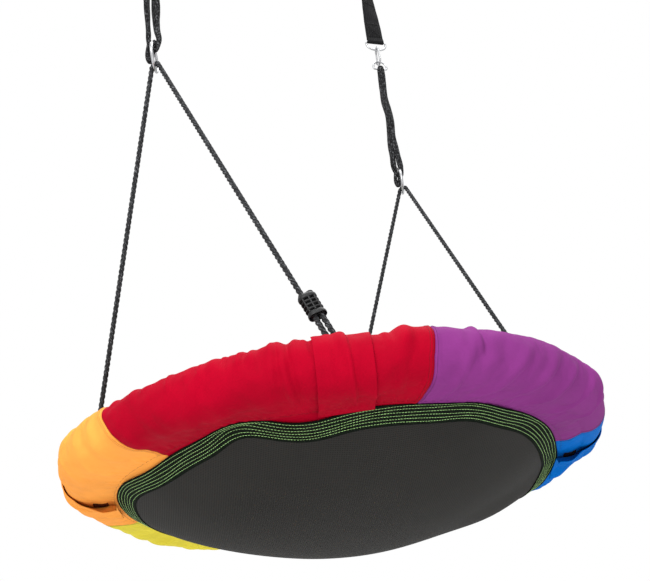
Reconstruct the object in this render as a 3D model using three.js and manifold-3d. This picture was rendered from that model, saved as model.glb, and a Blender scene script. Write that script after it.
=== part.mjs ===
// Saucer nest swing: a padded steel ring with a sagging mesh mat, hung by two V-shaped ropes.
// Each V-rope runs over an O-ring, and each O-ring hangs from a braided sling, a D-ring,
// a spring-gate carabiner and a flat tree strap that ends in a sewn eye for a crossbar.
// Units are millimetres, +Z is up, and the origin is on the crossbar's axis, midway between the
// two strap eyes. +X runs along the crossbar, so the swing moves fore and aft along Y.
// A part that is turned or curved is written as a formula of the driving dimensions below.

import * as THREE from "three";
import { mergeVertices } from "three/addons/utils/BufferGeometryUtils.js";
import Module from "manifold-3d";

const wasm = await Module();
wasm.setup();

// ---------------------------------------------------------------- driving dimensions

const GAP = 0.4; // between pieces that touch on the real swing

// Heights above the plane of the rim's tube
const CROSSBAR_HEIGHT = 1430;
const STRAP_BAR_HEIGHT = 1186;
const STRAP_BOW_HEIGHT = 1160;
const SLING_ARCH_HEIGHT = 1121;
const SLING_BAR_HEIGHT = 1097;
const RING_HEIGHT = 752;

const HANG_X = 378.5; // each hanging line's distance from the middle
const WIRE_HANG = 6.6; // between the middles of two wires that hang on each other

// Rim
const RIM_RADIUS = 455;
const TUBE_RADIUS = 12.5;
const TUBE_WALL = 1.5;
const SPIGOT_RADIUS = 10.2;
const SPIGOT_LENGTH = 45;
const TUBE_COUNT = 4;
const SCREW_RADIUS = 2.5;
const SCREW_LENGTH = 12;
const FOAM_RADIUS = 38;
const FOAM_BORE = 18.5;
const FOAM_RELIEF = 30; // length of tube left bare on each side of a rope
const COVER_RADIUS = 44;
const COVER_WALL = 2.4;
const PANEL_COUNT = 6;
const FLAP_LIFT = 2.6; // between the cover and its flaps
const FLAP_WALL = 1.6;
const FLAP_HALF_ANGLE = 6;

// Mat
const MAT_RADIUS = 400;
const MAT_EDGE_DEPTH = 43;
const MAT_SAG = 120;
const MAT_SAG_POWER = 2.4;
const MAT_WALL = 3;
const MAT_SEGMENTS = 30;
const BORDER_WIDTH = 34;
const BORDER_WALL = 1.6;

// Ropes and adjusters
const ROPE_RADIUS = 5;
const ROPE_SIDES = 8;
const ROPE_ANGLES = [135, 225, 315, 45]; // where the ropes hold the rim, in degrees
const WRAP_RADIUS = 19; // of the rope's middle line round the tube
const RING_BEND_RADIUS = 11.2; // of the rope's middle line over the O-ring
const STRAND_OFFSET = 5.6; // of each strand from the adjuster's middle
const ADJUSTER_STARTS = [80, 100, 80, 80]; // along each leg from the tube's middle
const ADJUSTER_LENGTH = 48;
const ADJUSTER_HALF_WIDTH = 15.5;
const ADJUSTER_HALF_THICKNESS = 10.5;
const COLLAR_LENGTH = 9;
const COLLAR_STEP = 1.6;
const MAIN_BORE = 5.6;
const TAIL_BORE = 5.5;
const CUP_RADIUS = 6.3;
const CUP_OFFSET = 6.6; // of the cup from the adjuster's middle
const CUP_DEPTH = 12;

// Hardware
const O_RING_RADIUS = 28;
const O_RING_WIRE = 3;
const O_RING_TURN = 39.7; // of the ring's plane from the XZ plane, in degrees
const D_RING_WIRE = 2.5;
const D_RING_TURN = -30; // of both D-rings, from the XZ plane
const STRAP_RING_HALF_WIDTH = 27;
const SLING_RING_HALF_WIDTH = 18;
const CARABINER_WIRE = 2.75;
const CARABINER_TURN = 57;
const CARABINER_TOP_BEND = 9;
const CARABINER_FOOT_BEND = 11;
const GATE_RADIUS = 2.3;
const GATE_PIN_RADIUS = 0.9;

// Straps and slings
const STRAP_WIDTH = 44;
const STRAP_THICKNESS = 2.5;
const EYE_RADIUS = 28;
const STRAP_FLAT_TOP = -66; // where the eye's two sides meet
const STRAP_FLAT_FOOT = 14; // from the ring's bar to the end of the flat stretch
const SLING_HALF_SPREAD = 9.5;
const SLING_TOP_TURN = D_RING_TURN + 90; // of the sling's two branches from the X axis, in degrees
const SLING_FOOT_TURN = O_RING_TURN + 90;

// ---------------------------------------------------------------- materials

function material(color, roughness, metalness) {
  return new THREE.MeshStandardMaterial({ color, roughness, metalness });
}

const zinc = material("#c9ccce", 0.32, 1);
const tubeSteel = material("#8d9196", 0.4, 1);
const foam = material("#3b3b3e", 0.95, 0);
const ropeBlack = material("#2c2e30", 0.85, 0);
const webbing = material("#262627", 0.8, 0);
const adjusterPlastic = material("#2f3032", 0.55, 0);
const meshFabric = material("#373533", 0.75, 0);
const borderTape = material("#1d2a1f", 0.8, 0);
const hookTape = material("#2b2118", 0.95, 0);
const coverFabrics = {
  green: material("#2f9a4a", 0.7, 0),
  yellow: material("#e1d748", 0.7, 0),
  orange: material("#faaa50", 0.7, 0),
  red: material("#c30a23", 0.7, 0),
  purple: material("#913c8c", 0.7, 0),
  blue: material("#0069be", 0.7, 0),
};
const panelColours = ["green", "yellow", "orange", "red", "purple", "blue"];

// ---------------------------------------------------------------- helpers

const swing = new THREE.Group();

function add(name, geometry, finish, parent = swing) {
  const mesh = new THREE.Mesh(geometry, finish);
  mesh.name = name;
  parent.add(mesh);
  return mesh;
}

function rad(degrees) {
  return THREE.MathUtils.degToRad(degrees);
}

// The height above the rim, as a z of the part's own frame.
function level(height) {
  return height - CROSSBAR_HEIGHT;
}

// Turns the faces round where a change of axes has left them pointing inwards.
function facingOut(geometry) {
  const position = geometry.getAttribute("position");
  const index = geometry.getIndex();
  const count = index ? index.count : position.count;
  const corner = (k) => new THREE.Vector3().fromBufferAttribute(position, index ? index.getX(k) : k);
  let volume = 0;
  for (let k = 0; k < count; k += 3) {
    volume += corner(k).dot(corner(k + 1).cross(corner(k + 2)));
  }
  if (volume > 0) {
    return geometry;
  }
  const order = Array.from({ length: count }, (_, k) => (index ? index.getX(k) : k));
  for (let k = 0; k < count; k += 3) {
    [order[k + 1], order[k + 2]] = [order[k + 2], order[k + 1]];
  }
  geometry.setIndex(order);
  return geometry;
}

function solid(geometry) {
  const bare = geometry.clone();
  bare.deleteAttribute("normal");
  bare.deleteAttribute("uv");
  const merged = mergeVertices(facingOut(bare), 1e-3);
  return new wasm.Manifold(
    new wasm.Mesh({
      numProp: 3,
      vertProperties: merged.getAttribute("position").array,
      triVerts: new Uint32Array(merged.getIndex().array),
    }),
  );
}

function geometryOf(body) {
  const mesh = body.getMesh();
  const geometry = new THREE.BufferGeometry();
  geometry.setAttribute("position", new THREE.BufferAttribute(mesh.vertProperties, 3));
  geometry.setIndex(new THREE.BufferAttribute(mesh.triVerts, 1));
  geometry.computeVertexNormals();
  return geometry;
}

function join(first, ...others) {
  return geometryOf(others.reduce((body, other) => body.add(solid(other)), solid(first)));
}

function cut(first, ...others) {
  return geometryOf(others.reduce((body, other) => body.subtract(solid(other)), solid(first)));
}

function arcPoints(x, y, radius, from, to, count) {
  return Array.from({ length: count + 1 }, (_, i) => {
    const a = rad(from + ((to - from) * i) / count);
    return new THREE.Vector2(x + radius * Math.cos(a), y + radius * Math.sin(a));
  });
}

function polygon(radius, sides) {
  return new THREE.Shape(arcPoints(0, 0, radius, 0, 360 - 360 / sides, sides - 1));
}

function prism(shape, length, steps = 1) {
  return new THREE.ExtrudeGeometry(shape, { depth: length, steps, bevelEnabled: false });
}

// A path through the given points, with one step of the sweep from each to the next.
class Route extends THREE.Curve {
  constructor(points) {
    super();
    this.points = points;
  }
  getPoint(t, target = new THREE.Vector3()) {
    const at = THREE.MathUtils.clamp(t, 0, 1) * (this.points.length - 1);
    const i = Math.min(Math.floor(at), this.points.length - 2);
    return target.lerpVectors(this.points[i], this.points[i + 1], at - i);
  }
  getUtoTmapping(u) {
    return u;
  }
}

function sweep(points, radius, sides) {
  return new THREE.ExtrudeGeometry(polygon(radius, sides), {
    steps: points.length - 1,
    bevelEnabled: false,
    extrudePath: new Route(points),
  });
}

// A ring with no ends, whose middle line is a flat outline and whose section is an ellipse.
// section(i) gives the half-thicknesses in the outline's plane and across it.
function closedRing(outline, section, sides) {
  const n = outline.length;
  const ring = new THREE.TorusGeometry(1, 0.5, sides, n);
  const position = ring.getAttribute("position");
  for (let j = 0; j <= sides; j += 1) {
    const v = (2 * Math.PI * (j % sides)) / sides;
    for (let i = 0; i <= n; i += 1) {
      const here = outline[i % n];
      const along = outline[(i + 1) % n].clone().sub(outline[(i + n - 1) % n]).normalize();
      const [inPlane, across] = section(i % n);
      const x = here.x + along.y * inPlane * Math.cos(v);
      const y = here.y - along.x * inPlane * Math.cos(v);
      position.setXYZ(j * (n + 1) + i, x, y, across * Math.sin(v));
    }
  }
  return facingOut(ring);
}

// Stands a piece drawn in the XY plane up in the XZ plane, then turns it about Z.
function stood(geometry, turn) {
  return geometry.rotateX(Math.PI / 2).rotateZ(rad(turn));
}

// Bends a straight extrusion round the rim: x becomes outward, y up and z the way round.
// Turns a piece about Z, by one angle at its foot and below, changing smoothly to another above.
function twisted(geometry, foot, footTurn, top, topTurn) {
  const position = geometry.getAttribute("position");
  for (let i = 0; i < position.count; i += 1) {
    const rise = THREE.MathUtils.smoothstep(position.getZ(i), foot, top);
    const turn = rad(THREE.MathUtils.lerp(footTurn, topTurn, rise));
    const point = new THREE.Vector3().fromBufferAttribute(position, i);
    point.applyAxisAngle(new THREE.Vector3(0, 0, 1), turn);
    position.setXYZ(i, point.x, point.y, point.z);
  }
  return geometry;
}

function bentRound(geometry, startAngle) {
  const position = geometry.getAttribute("position");
  for (let i = 0; i < position.count; i += 1) {
    const angle = rad(startAngle) + position.getZ(i) / RIM_RADIUS;
    const radius = RIM_RADIUS + position.getX(i);
    const z = position.getY(i) + level(0);
    position.setXYZ(i, radius * Math.cos(angle), radius * Math.sin(angle), z);
  }
  return facingOut(geometry);
}

function rimLength(degrees) {
  return rad(degrees) * RIM_RADIUS;
}

function rimDegrees(length) {
  return THREE.MathUtils.radToDeg(length / RIM_RADIUS);
}

function sideName(sign) {
  return sign < 0 ? "left" : "right";
}

// ---------------------------------------------------------------- rope geometry

// Everything about one place where a rope holds the rim.
function ropeHold(angle, i) {
  const radial = new THREE.Vector3(Math.cos(rad(angle)), Math.sin(rad(angle)), 0);
  const up = new THREE.Vector3(0, 0, 1);
  const centre = radial.clone().multiplyScalar(RIM_RADIUS).setZ(level(0));
  // along the tube, towards the middle line y = 0
  const inward = new THREE.Vector3(-radial.y, radial.x, 0);
  inward.multiplyScalar(-Math.sign(centre.y * inward.y));
  const ringWire = new THREE.Vector3(
    Math.sign(centre.x) * HANG_X,
    0,
    level(RING_HEIGHT) - O_RING_RADIUS,
  );
  const foot = centre.clone().addScaledVector(inward, STRAND_OFFSET);
  // where the straight leg leaves its bend over the O-ring's wire
  const side = Math.sign(centre.y);
  const reach = Math.hypot(foot.y, foot.z - ringWire.z);
  const steepness = Math.atan2(ringWire.z - foot.z, Math.abs(foot.y));
  const tangentAngle = Math.PI / 2 - steepness + Math.asin(RING_BEND_RADIUS / reach);
  const leave = ringWire.clone().add(
    new THREE.Vector3(
      0,
      side * RING_BEND_RADIUS * Math.cos(tangentAngle),
      RING_BEND_RADIUS * Math.sin(tangentAngle),
    ),
  );
  const leg = leave.clone().sub(foot).normalize();
  // across the two strands, square to the leg
  const across = inward.clone().addScaledVector(leg, -inward.dot(leg)).normalize();
  const through = new THREE.Vector3().crossVectors(leg, across);
  return {
    angle,
    adjusterStart: ADJUSTER_STARTS[i],
    radial,
    up,
    centre,
    inward,
    ringWire,
    side,
    tangentAngle,
    foot,
    leg,
    across,
    through,
  };
}

// A point beside the tube: along it, outward from it and above it.
function besideTube(hold, along, outward, above) {
  return hold.centre
    .clone()
    .addScaledVector(hold.inward, along)
    .addScaledVector(hold.radial, outward)
    .addScaledVector(hold.up, above);
}

// The main strand's wrap, from the bottom of the tube, up its outer side and on to the leg.
function mainWrap(hold) {
  const turns = [-83, -60, -35, -10, 15];
  const wrap = turns.map((a, i) => {
    const along = (STRAND_OFFSET * i) / (turns.length - 1);
    return besideTube(hold, along, WRAP_RADIUS * Math.cos(rad(a)), WRAP_RADIUS * Math.sin(rad(a)));
  });
  const legStart = hold.foot.clone().addScaledVector(hold.leg, 56);
  const between = wrap[wrap.length - 1].clone().lerp(legStart, 0.5);
  return [...wrap, between.addScaledVector(hold.radial, 1.5), legStart];
}

// The tail's wrap, from the bottom of the tube, up its inner side and into the adjuster.
function tailRoute(hold) {
  const turns = [-97, -120, -145, -170, -195];
  const wrap = turns.map((a, i) => {
    const along = (-STRAND_OFFSET * i) / (turns.length - 1);
    return besideTube(hold, along, WRAP_RADIUS * Math.cos(rad(a)), WRAP_RADIUS * Math.sin(rad(a)));
  });
  const line = hold.foot.clone().addScaledVector(hold.across, -2 * STRAND_OFFSET);
  const start = line.clone().addScaledVector(hold.leg, 60);
  const between = wrap[wrap.length - 1].clone().lerp(start, 0.5).addScaledVector(hold.radial, -1.5);
  const endAt = hold.adjusterStart + ADJUSTER_LENGTH - CUP_DEPTH;
  const end = line.clone().addScaledVector(hold.leg, endAt);
  return [...wrap, between, start, end];
}

// One V-rope: from under the tube, up over the O-ring and down to under the tube again.
function vRopeRoute(first, second) {
  const bendSteps = 8;
  const from = first.tangentAngle;
  const bend = Array.from({ length: bendSteps + 1 }, (_, i) => {
    const a = from + ((Math.PI - 2 * from) * i) / bendSteps;
    return first.ringWire.clone().add(
      new THREE.Vector3(
        0,
        first.side * RING_BEND_RADIUS * Math.cos(a),
        RING_BEND_RADIUS * Math.sin(a),
      ),
    );
  });
  return [...mainWrap(first), ...bend, ...mainWrap(second).reverse()];
}

// ---------------------------------------------------------------- rim

const holds = ROPE_ANGLES.map(ropeHold);

// A curved tube with a plain socket at its start and a narrowed spigot at its end.
function frameTube(startAngle) {
  const length = rimLength(360 / TUBE_COUNT) - GAP;
  const steps = 9;
  const socket = SPIGOT_LENGTH;
  const bends = Array.from({ length: steps + 1 }, (_, i) => socket + ((length - socket) * i) / steps);
  const stations = [0, ...bends];
  const end = length + SPIGOT_LENGTH;
  const outer = stations.map((s) => new THREE.Vector2(TUBE_RADIUS, s));
  const inner = stations.map((s) => new THREE.Vector2(TUBE_RADIUS - TUBE_WALL, s)).reverse();
  inner[0].y -= 2 * TUBE_WALL;
  const profile = [
    ...outer,
    new THREE.Vector2(SPIGOT_RADIUS, length),
    new THREE.Vector2(SPIGOT_RADIUS, end),
    new THREE.Vector2(SPIGOT_RADIUS - TUBE_WALL, end),
    new THREE.Vector2(SPIGOT_RADIUS - TUBE_WALL, length - 2 * TUBE_WALL),
    ...inner,
    outer[0].clone(),
  ];
  const straight = new THREE.LatheGeometry(profile, 10).rotateX(Math.PI / 2);
  return bentRound(straight, startAngle);
}

// The place and direction of a joint screw, which goes in through the tube's underside.
function screwShape(radius, length, angle) {
  const screw = new THREE.CylinderGeometry(radius, radius, length, 8).rotateX(Math.PI / 2);
  const outward = new THREE.Vector3(Math.cos(rad(angle)), Math.sin(rad(angle)), 0);
  const place = outward.multiplyScalar(RIM_RADIUS).setZ(level(0) - TUBE_RADIUS - 2 + length / 2);
  return screw.translate(place.x, place.y, place.z);
}

function buildRim() {
  const jointAngles = Array.from({ length: TUBE_COUNT }, (_, i) => (360 / TUBE_COUNT) * i);
  const screwOffset = rimDegrees(SPIGOT_LENGTH / 2);
  jointAngles.forEach((angle, i) => {
    const next = angle + 360 / TUBE_COUNT;
    const holes = [angle + screwOffset, next + screwOffset];
    const cutters = holes.map((at) => screwShape(SCREW_RADIUS + GAP, SCREW_LENGTH + 4, at));
    add(`frame_tube_${i + 1}`, cut(frameTube(angle), ...cutters), tubeSteel);
    const head = screwShape(2 * SCREW_RADIUS, 1.6, angle + screwOffset);
    const shank = screwShape(SCREW_RADIUS, SCREW_LENGTH, angle + screwOffset);
    add(`tube_screw_${i + 1}`, join(head, shank), zinc);
  });
}

// Foam sleeves cover the tube from one rope to the next.
function buildFoam() {
  const relief = rimDegrees(FOAM_RELIEF);
  const steps = 7;
  const length = rimLength(90 - 2 * relief);
  for (let i = 0; i < ROPE_ANGLES.length; i += 1) {
    const shape = polygon(FOAM_RADIUS, 12);
    shape.holes.push(polygon(FOAM_BORE, 8));
    const start = 45 + 90 * i + relief;
    add(`foam_sleeve_${i + 1}`, bentRound(prism(shape, length, steps), start), foam);
  }
}

// The cover's section: round over the foam, then drawn in flat to the mat's edge.
function coverSection() {
  const tip = RIM_RADIUS - MAT_RADIUS - 1;
  const round = arcPoints(0, 0, COVER_RADIUS, -90, 165, 11);
  const inside = arcPoints(0, 0, COVER_RADIUS - COVER_WALL, -90, 165, 11);
  const outline = [...round, new THREE.Vector2(-tip, -40), new THREE.Vector2(-tip, -COVER_RADIUS)];
  const shape = new THREE.Shape(outline);
  shape.holes.push(new THREE.Path([...inside, new THREE.Vector2(-tip + 5, -COVER_RADIUS + COVER_WALL)]));
  return shape;
}

// The window in the top of the cover that the two strands of a rope come out of.
function ropeWindow(hold) {
  const [back, front, inner, outer, low, high] = [-9, 34, -29, 16, 24, 60];
  const box = new THREE.BoxGeometry(front - back, outer - inner, high - low);
  const basis = new THREE.Matrix4().makeBasis(hold.inward, hold.radial, hold.up);
  box.applyMatrix4(basis);
  const middle = besideTube(hold, (front + back) / 2, (outer + inner) / 2, (high + low) / 2);
  return box.translate(middle.x, middle.y, middle.z);
}

function buildCover() {
  const span = 360 / PANEL_COUNT;
  const seam = rimDegrees(GAP / 2);
  const steps = 8;
  panelColours.forEach((colour, i) => {
    const start = span * i;
    const length = rimLength(span - 2 * seam);
    const panel = bentRound(prism(coverSection(), length, steps), start + seam);
    const inside = holds.filter((hold) => hold.angle > start && hold.angle < start + span);
    const shape = inside.length ? cut(panel, ...inside.map(ropeWindow)) : panel;
    add(`cover_panel_${colour}`, shape, coverFabrics[colour]);
  });
}

// The flap that closes the cover over a rope, and the hook-and-loop tape that holds it.
function buildFlap(hold, name, colour) {
  const inner = COVER_RADIUS + FLAP_LIFT;
  const outer = inner + FLAP_WALL;
  const topAngle = 64;
  const reach = RIM_RADIUS - MAT_RADIUS - 5;
  const shape = new THREE.Shape([
    ...arcPoints(0, 0, outer, topAngle, -90, 7),
    new THREE.Vector2(-reach, -outer),
    new THREE.Vector2(-reach, -inner),
    ...arcPoints(0, 0, inner, -90, topAngle, 7),
  ]);
  // the flap sits a little towards the middle line y = 0, over the leaning strands
  const towards = Math.sign(hold.inward.dot(new THREE.Vector3(-hold.radial.y, hold.radial.x, 0)));
  const middle = hold.angle + towards;
  const flap = prism(shape, rimLength(2 * FLAP_HALF_ANGLE), 2);
  add(`rope_flap_${name}`, bentRound(flap, middle - FLAP_HALF_ANGLE), coverFabrics[colour]);

  const tapeThickness = FLAP_LIFT - 2 * GAP;
  const tapeHalfAngle = 4.5;
  const tape = new THREE.Shape([
    new THREE.Vector2(-reach + 4, -COVER_RADIUS - GAP - tapeThickness),
    new THREE.Vector2(-reach + 28, -COVER_RADIUS - GAP - tapeThickness),
    new THREE.Vector2(-reach + 28, -COVER_RADIUS - GAP),
    new THREE.Vector2(-reach + 4, -COVER_RADIUS - GAP),
  ]);
  const strip = bentRound(prism(tape, rimLength(2 * tapeHalfAngle), 2), middle - tapeHalfAngle);
  add(`flap_tape_${name}`, strip, hookTape);
}

// ---------------------------------------------------------------- mat

// How far the mat's upper face hangs below the rim's plane at a given radius.
function matDepth(radius) {
  return MAT_EDGE_DEPTH + MAT_SAG * (1 - (radius / MAT_RADIUS) ** MAT_SAG_POWER);
}

// Turns a profile of radius and depth below the rim's plane about the swing's middle line.
function turned(profile, segments) {
  const points = profile.map(([radius, depth]) => new THREE.Vector2(radius, -depth));
  const lathe = new THREE.LatheGeometry(points, segments).rotateX(Math.PI / 2);
  return facingOut(lathe.translate(0, 0, level(0)));
}

function buildMat() {
  const radii = [0, 105, 190, 260, 315, 362, MAT_RADIUS];
  const upper = radii.map((r) => [r, matDepth(r)]);
  const lower = radii.map((r) => [r, matDepth(r) + MAT_WALL]).reverse();
  add("seat_mat", turned([...upper, ...lower], MAT_SEGMENTS), meshFabric);

  const borderRadii = [MAT_RADIUS - BORDER_WIDTH, 383, MAT_RADIUS - 1];
  const under = (lift) => borderRadii.map((r) => [r, matDepth(r) + MAT_WALL + lift]);
  const near = under(GAP);
  const far = under(GAP + BORDER_WALL).reverse();
  add("mat_border", turned([...near, ...far, near[0]], MAT_SEGMENTS), borderTape);
}

// ---------------------------------------------------------------- ropes and adjusters

function standOnLeg(geometry, hold, along, across) {
  const basis = new THREE.Matrix4().makeBasis(hold.across, hold.through, hold.leg);
  const place = hold.foot
    .clone()
    .addScaledVector(hold.across, across - STRAND_OFFSET)
    .addScaledVector(hold.leg, along);
  return facingOut(geometry.applyMatrix4(basis.setPosition(place)));
}

function stadium(halfWidth, halfThickness) {
  const straight = halfWidth - halfThickness;
  return new THREE.Shape([
    ...arcPoints(straight, 0, halfThickness, -90, 90, 5),
    ...arcPoints(-straight, 0, halfThickness, 90, 270, 5),
  ]);
}

function bore(radius, length, across, start) {
  return prism(polygon(radius, 10), length).rotateZ(rad(18)).translate(across, 0, start);
}

// The moulded adjuster has a bore for the leg, and one with a cup for the rope's bound end.
function adjuster() {
  const waist = stadium(ADJUSTER_HALF_WIDTH - COLLAR_STEP, ADJUSTER_HALF_THICKNESS - COLLAR_STEP);
  const collar = stadium(ADJUSTER_HALF_WIDTH, ADJUSTER_HALF_THICKNESS);
  const lower = prism(collar, COLLAR_LENGTH);
  const upper = prism(collar, COLLAR_LENGTH).translate(0, 0, ADJUSTER_LENGTH - COLLAR_LENGTH);
  const body = join(prism(waist, ADJUSTER_LENGTH), lower, upper);
  return cut(
    body,
    bore(MAIN_BORE, ADJUSTER_LENGTH + 4, STRAND_OFFSET, -2),
    bore(TAIL_BORE, ADJUSTER_LENGTH + 4, -STRAND_OFFSET, -2),
    bore(CUP_RADIUS, CUP_DEPTH, -CUP_OFFSET, ADJUSTER_LENGTH - CUP_DEPTH + 2),
  );
}

function ropeEnd() {
  const radius = CUP_RADIUS - 2 * GAP;
  const height = CUP_DEPTH - 4;
  const profile = [
    [0, 0],
    [radius - 1, 0],
    [radius, 2],
    [radius, height - 3],
    [radius - 2.5, height],
    [0, height],
  ].map(([x, y]) => new THREE.Vector2(x, y));
  return new THREE.LatheGeometry(profile, 8).rotateX(Math.PI / 2);
}

function buildRopes() {
  const names = ["a", "b", "c", "d"];
  const flapColours = ["orange", "red", "blue", "green"];
  holds.forEach((hold, i) => {
    const start = hold.adjusterStart;
    add(`adjuster_${names[i]}`, standOnLeg(adjuster(), hold, start, 0), adjusterPlastic);
    const endAt = start + ADJUSTER_LENGTH - CUP_DEPTH + 3;
    const end = standOnLeg(ropeEnd(), hold, endAt, -CUP_OFFSET);
    add(`rope_end_${names[i]}`, end, ropeBlack);
    add(`rope_tail_${names[i]}`, sweep(tailRoute(hold), ROPE_RADIUS, ROPE_SIDES), ropeBlack);
    buildFlap(hold, names[i], flapColours[i]);
  });
  const left = sweep(vRopeRoute(holds[0], holds[1]), ROPE_RADIUS, ROPE_SIDES);
  const right = sweep(vRopeRoute(holds[3], holds[2]), ROPE_RADIUS, ROPE_SIDES);
  add("v_rope_left", left, ropeBlack);
  add("v_rope_right", right, ropeBlack);
}

// ---------------------------------------------------------------- hanging hardware

// A D-ring's middle line: a straight bar at y = 0 and a bow that reaches y = depth.
function dOutline(halfWidth, depth, count) {
  const corner = 5 * Math.sign(depth);
  const d = new THREE.Shape();
  d.moveTo(-halfWidth + 5, 0);
  d.lineTo(halfWidth - 5, 0);
  d.quadraticCurveTo(halfWidth, 0, halfWidth, corner);
  d.bezierCurveTo(halfWidth, depth * 0.8, halfWidth * 0.55, depth, 0, depth);
  d.bezierCurveTo(-halfWidth * 0.55, depth, -halfWidth, depth * 0.8, -halfWidth, corner);
  d.quadraticCurveTo(-halfWidth, 0, -halfWidth + 5, 0);
  return d.getSpacedPoints(count).slice(0, -1);
}

function dRing(halfWidth, depth) {
  const wire = () => [D_RING_WIRE, D_RING_WIRE];
  return stood(closedRing(dOutline(halfWidth, depth, 26), wire, 6), D_RING_TURN);
}

// The sling is one loop, over the D-ring's bar and under the O-ring's upper wire.
function sling() {
  const top = SLING_BAR_HEIGHT;
  const foot = RING_HEIGHT + O_RING_RADIUS;
  const topBend = 6.2;
  const footBend = 7.8;
  const side = [0.12, 0.35, 0.65, 0.88].map((t) => top + (foot - top) * t);
  const outline = [
    ...arcPoints(0, top, topBend, 0, 180, 6),
    ...side.map((z) => new THREE.Vector2(-SLING_HALF_SPREAD, z)),
    ...arcPoints(0, foot, footBend, 180, 360, 6),
    ...side.map((z) => new THREE.Vector2(SLING_HALF_SPREAD, z)).reverse(),
  ];
  const section = (i) => (Math.abs(outline[i].x) === SLING_HALF_SPREAD ? [3.4, 8] : [2.9, 5]);
  const loop = stood(closedRing(outline, section, 6), 0);
  return twisted(loop, foot, SLING_FOOT_TURN, top, SLING_TOP_TURN).translate(0, 0, level(0));
}

// The carabiner's body, with its gate's pivot, in the plane of its own wire.
const carabinerTop = STRAP_BOW_HEIGHT + WIRE_HANG;
const carabinerFoot = SLING_ARCH_HEIGHT - WIRE_HANG;
const carabinerMiddle = (carabinerTop + carabinerFoot) / 2;
const carabinerHalf = (carabinerTop - carabinerFoot) / 2;
const gatePivot = new THREE.Vector2(CARABINER_FOOT_BEND, -11.5);
const gateTip = new THREE.Vector2(CARABINER_TOP_BEND + 0.2, 14);

function carabinerBody() {
  const footMiddle = -carabinerHalf + CARABINER_FOOT_BEND;
  const topMiddle = carabinerHalf - CARABINER_TOP_BEND;
  const pivotClear = GATE_RADIUS + GAP;
  const outline = [
    new THREE.Vector2(gatePivot.x, gatePivot.y - pivotClear),
    ...arcPoints(0, footMiddle, CARABINER_FOOT_BEND, -12, -180, 9),
    ...arcPoints(0, topMiddle, CARABINER_TOP_BEND, 180, 0, 9),
    new THREE.Vector2(gateTip.x, gateTip.y + GAP),
  ];
  const wire = sweep(
    outline.map((p) => new THREE.Vector3(p.x, p.y, 0)),
    CARABINER_WIRE,
    6,
  );
  const earInside = GATE_RADIUS + GAP;
  const boss = new THREE.BoxGeometry(6, 4, 2 * earInside + 2.4);
  boss.translate(gatePivot.x - 0.2, gatePivot.y - pivotClear - 2, 0);
  const ear = (side) =>
    new THREE.BoxGeometry(5, 8, 1.2).translate(
      gatePivot.x,
      gatePivot.y - 1.6,
      side * (earInside + 0.6),
    );
  const pinHole = new THREE.CylinderGeometry(GATE_PIN_RADIUS + 0.35, GATE_PIN_RADIUS + 0.35, 20, 8)
    .rotateX(Math.PI / 2)
    .translate(gatePivot.x, gatePivot.y, 0);
  return cut(join(wire, boss, ear(-1), ear(1)), pinHole);
}

function carabinerGate() {
  const length = gateTip.distanceTo(gatePivot);
  const rounded = arcPoints(0, 0, GATE_RADIUS, -90, 0, 5);
  rounded[0].x = 0;
  const profile = [...rounded, new THREE.Vector2(GATE_RADIUS, length), new THREE.Vector2(0, length)];
  const lean = gateTip.clone().sub(gatePivot);
  const rod = new THREE.LatheGeometry(profile, 8).rotateZ(-Math.atan2(lean.x, lean.y));
  const hole = new THREE.CylinderGeometry(GATE_PIN_RADIUS + 0.35, GATE_PIN_RADIUS + 0.35, 20, 8);
  return cut(rod, hole.rotateX(Math.PI / 2)).translate(gatePivot.x, gatePivot.y, 0);
}

function gatePin() {
  const length = 2 * (GATE_RADIUS + GAP) + 2.4;
  const pin = new THREE.CylinderGeometry(GATE_PIN_RADIUS, GATE_PIN_RADIUS, length, 8);
  return pin.rotateX(Math.PI / 2).translate(gatePivot.x, gatePivot.y, 0);
}

// ---------------------------------------------------------------- strap

// The outline of webbing that goes round a bar at each end and is sewn to itself.
// Its faces are at halfThickness, and every loop is a circle with two flat flanks.
function strapOutline(eyeRadius, footRadius, halfThickness) {
  const footZ = STRAP_BAR_HEIGHT - CROSSBAR_HEIGHT;
  const eyeFlank = 35;
  const footFlank = 40;
  const steps = 7;
  const flat = Array.from({ length: steps }, (_, i) =>
    THREE.MathUtils.lerp(STRAP_FLAT_TOP, footZ + STRAP_FLAT_FOOT, i / (steps - 1)),
  );
  return [
    ...arcPoints(0, 0, eyeRadius, -eyeFlank + 7.5, 180 + eyeFlank - 7.5, 16),
    ...flat.map((z) => new THREE.Vector2(-halfThickness, z)),
    ...arcPoints(0, footZ, footRadius, 180 - footFlank, 360 + footFlank, 10),
    ...flat.reverse().map((z) => new THREE.Vector2(halfThickness, z)),
  ];
}

function strap() {
  const footZ = STRAP_BAR_HEIGHT - CROSSBAR_HEIGHT;
  const footHole = D_RING_WIRE + GAP;
  const shape = new THREE.Shape(
    strapOutline(EYE_RADIUS + STRAP_THICKNESS, footHole + STRAP_THICKNESS, STRAP_THICKNESS),
  );
  const eye = [...arcPoints(0, 0, EYE_RADIUS, -27.5, 207.5, 15), new THREE.Vector2(0, -58)];
  const foot = arcPoints(0, footZ, footHole, 0, 324, 9);
  shape.holes.push(new THREE.Path(eye));
  shape.holes.push(new THREE.Path(foot));
  const band = prism(shape, STRAP_WIDTH).translate(0, 0, -STRAP_WIDTH / 2);
  const axes = new THREE.Matrix4().makeBasis(
    new THREE.Vector3(0, 1, 0),
    new THREE.Vector3(0, 0, 1),
    new THREE.Vector3(1, 0, 0),
  );
  const twistFoot = footZ + STRAP_FLAT_FOOT;
  return twisted(band.applyMatrix4(axes), twistFoot, D_RING_TURN, STRAP_FLAT_TOP, 0);
}

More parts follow.
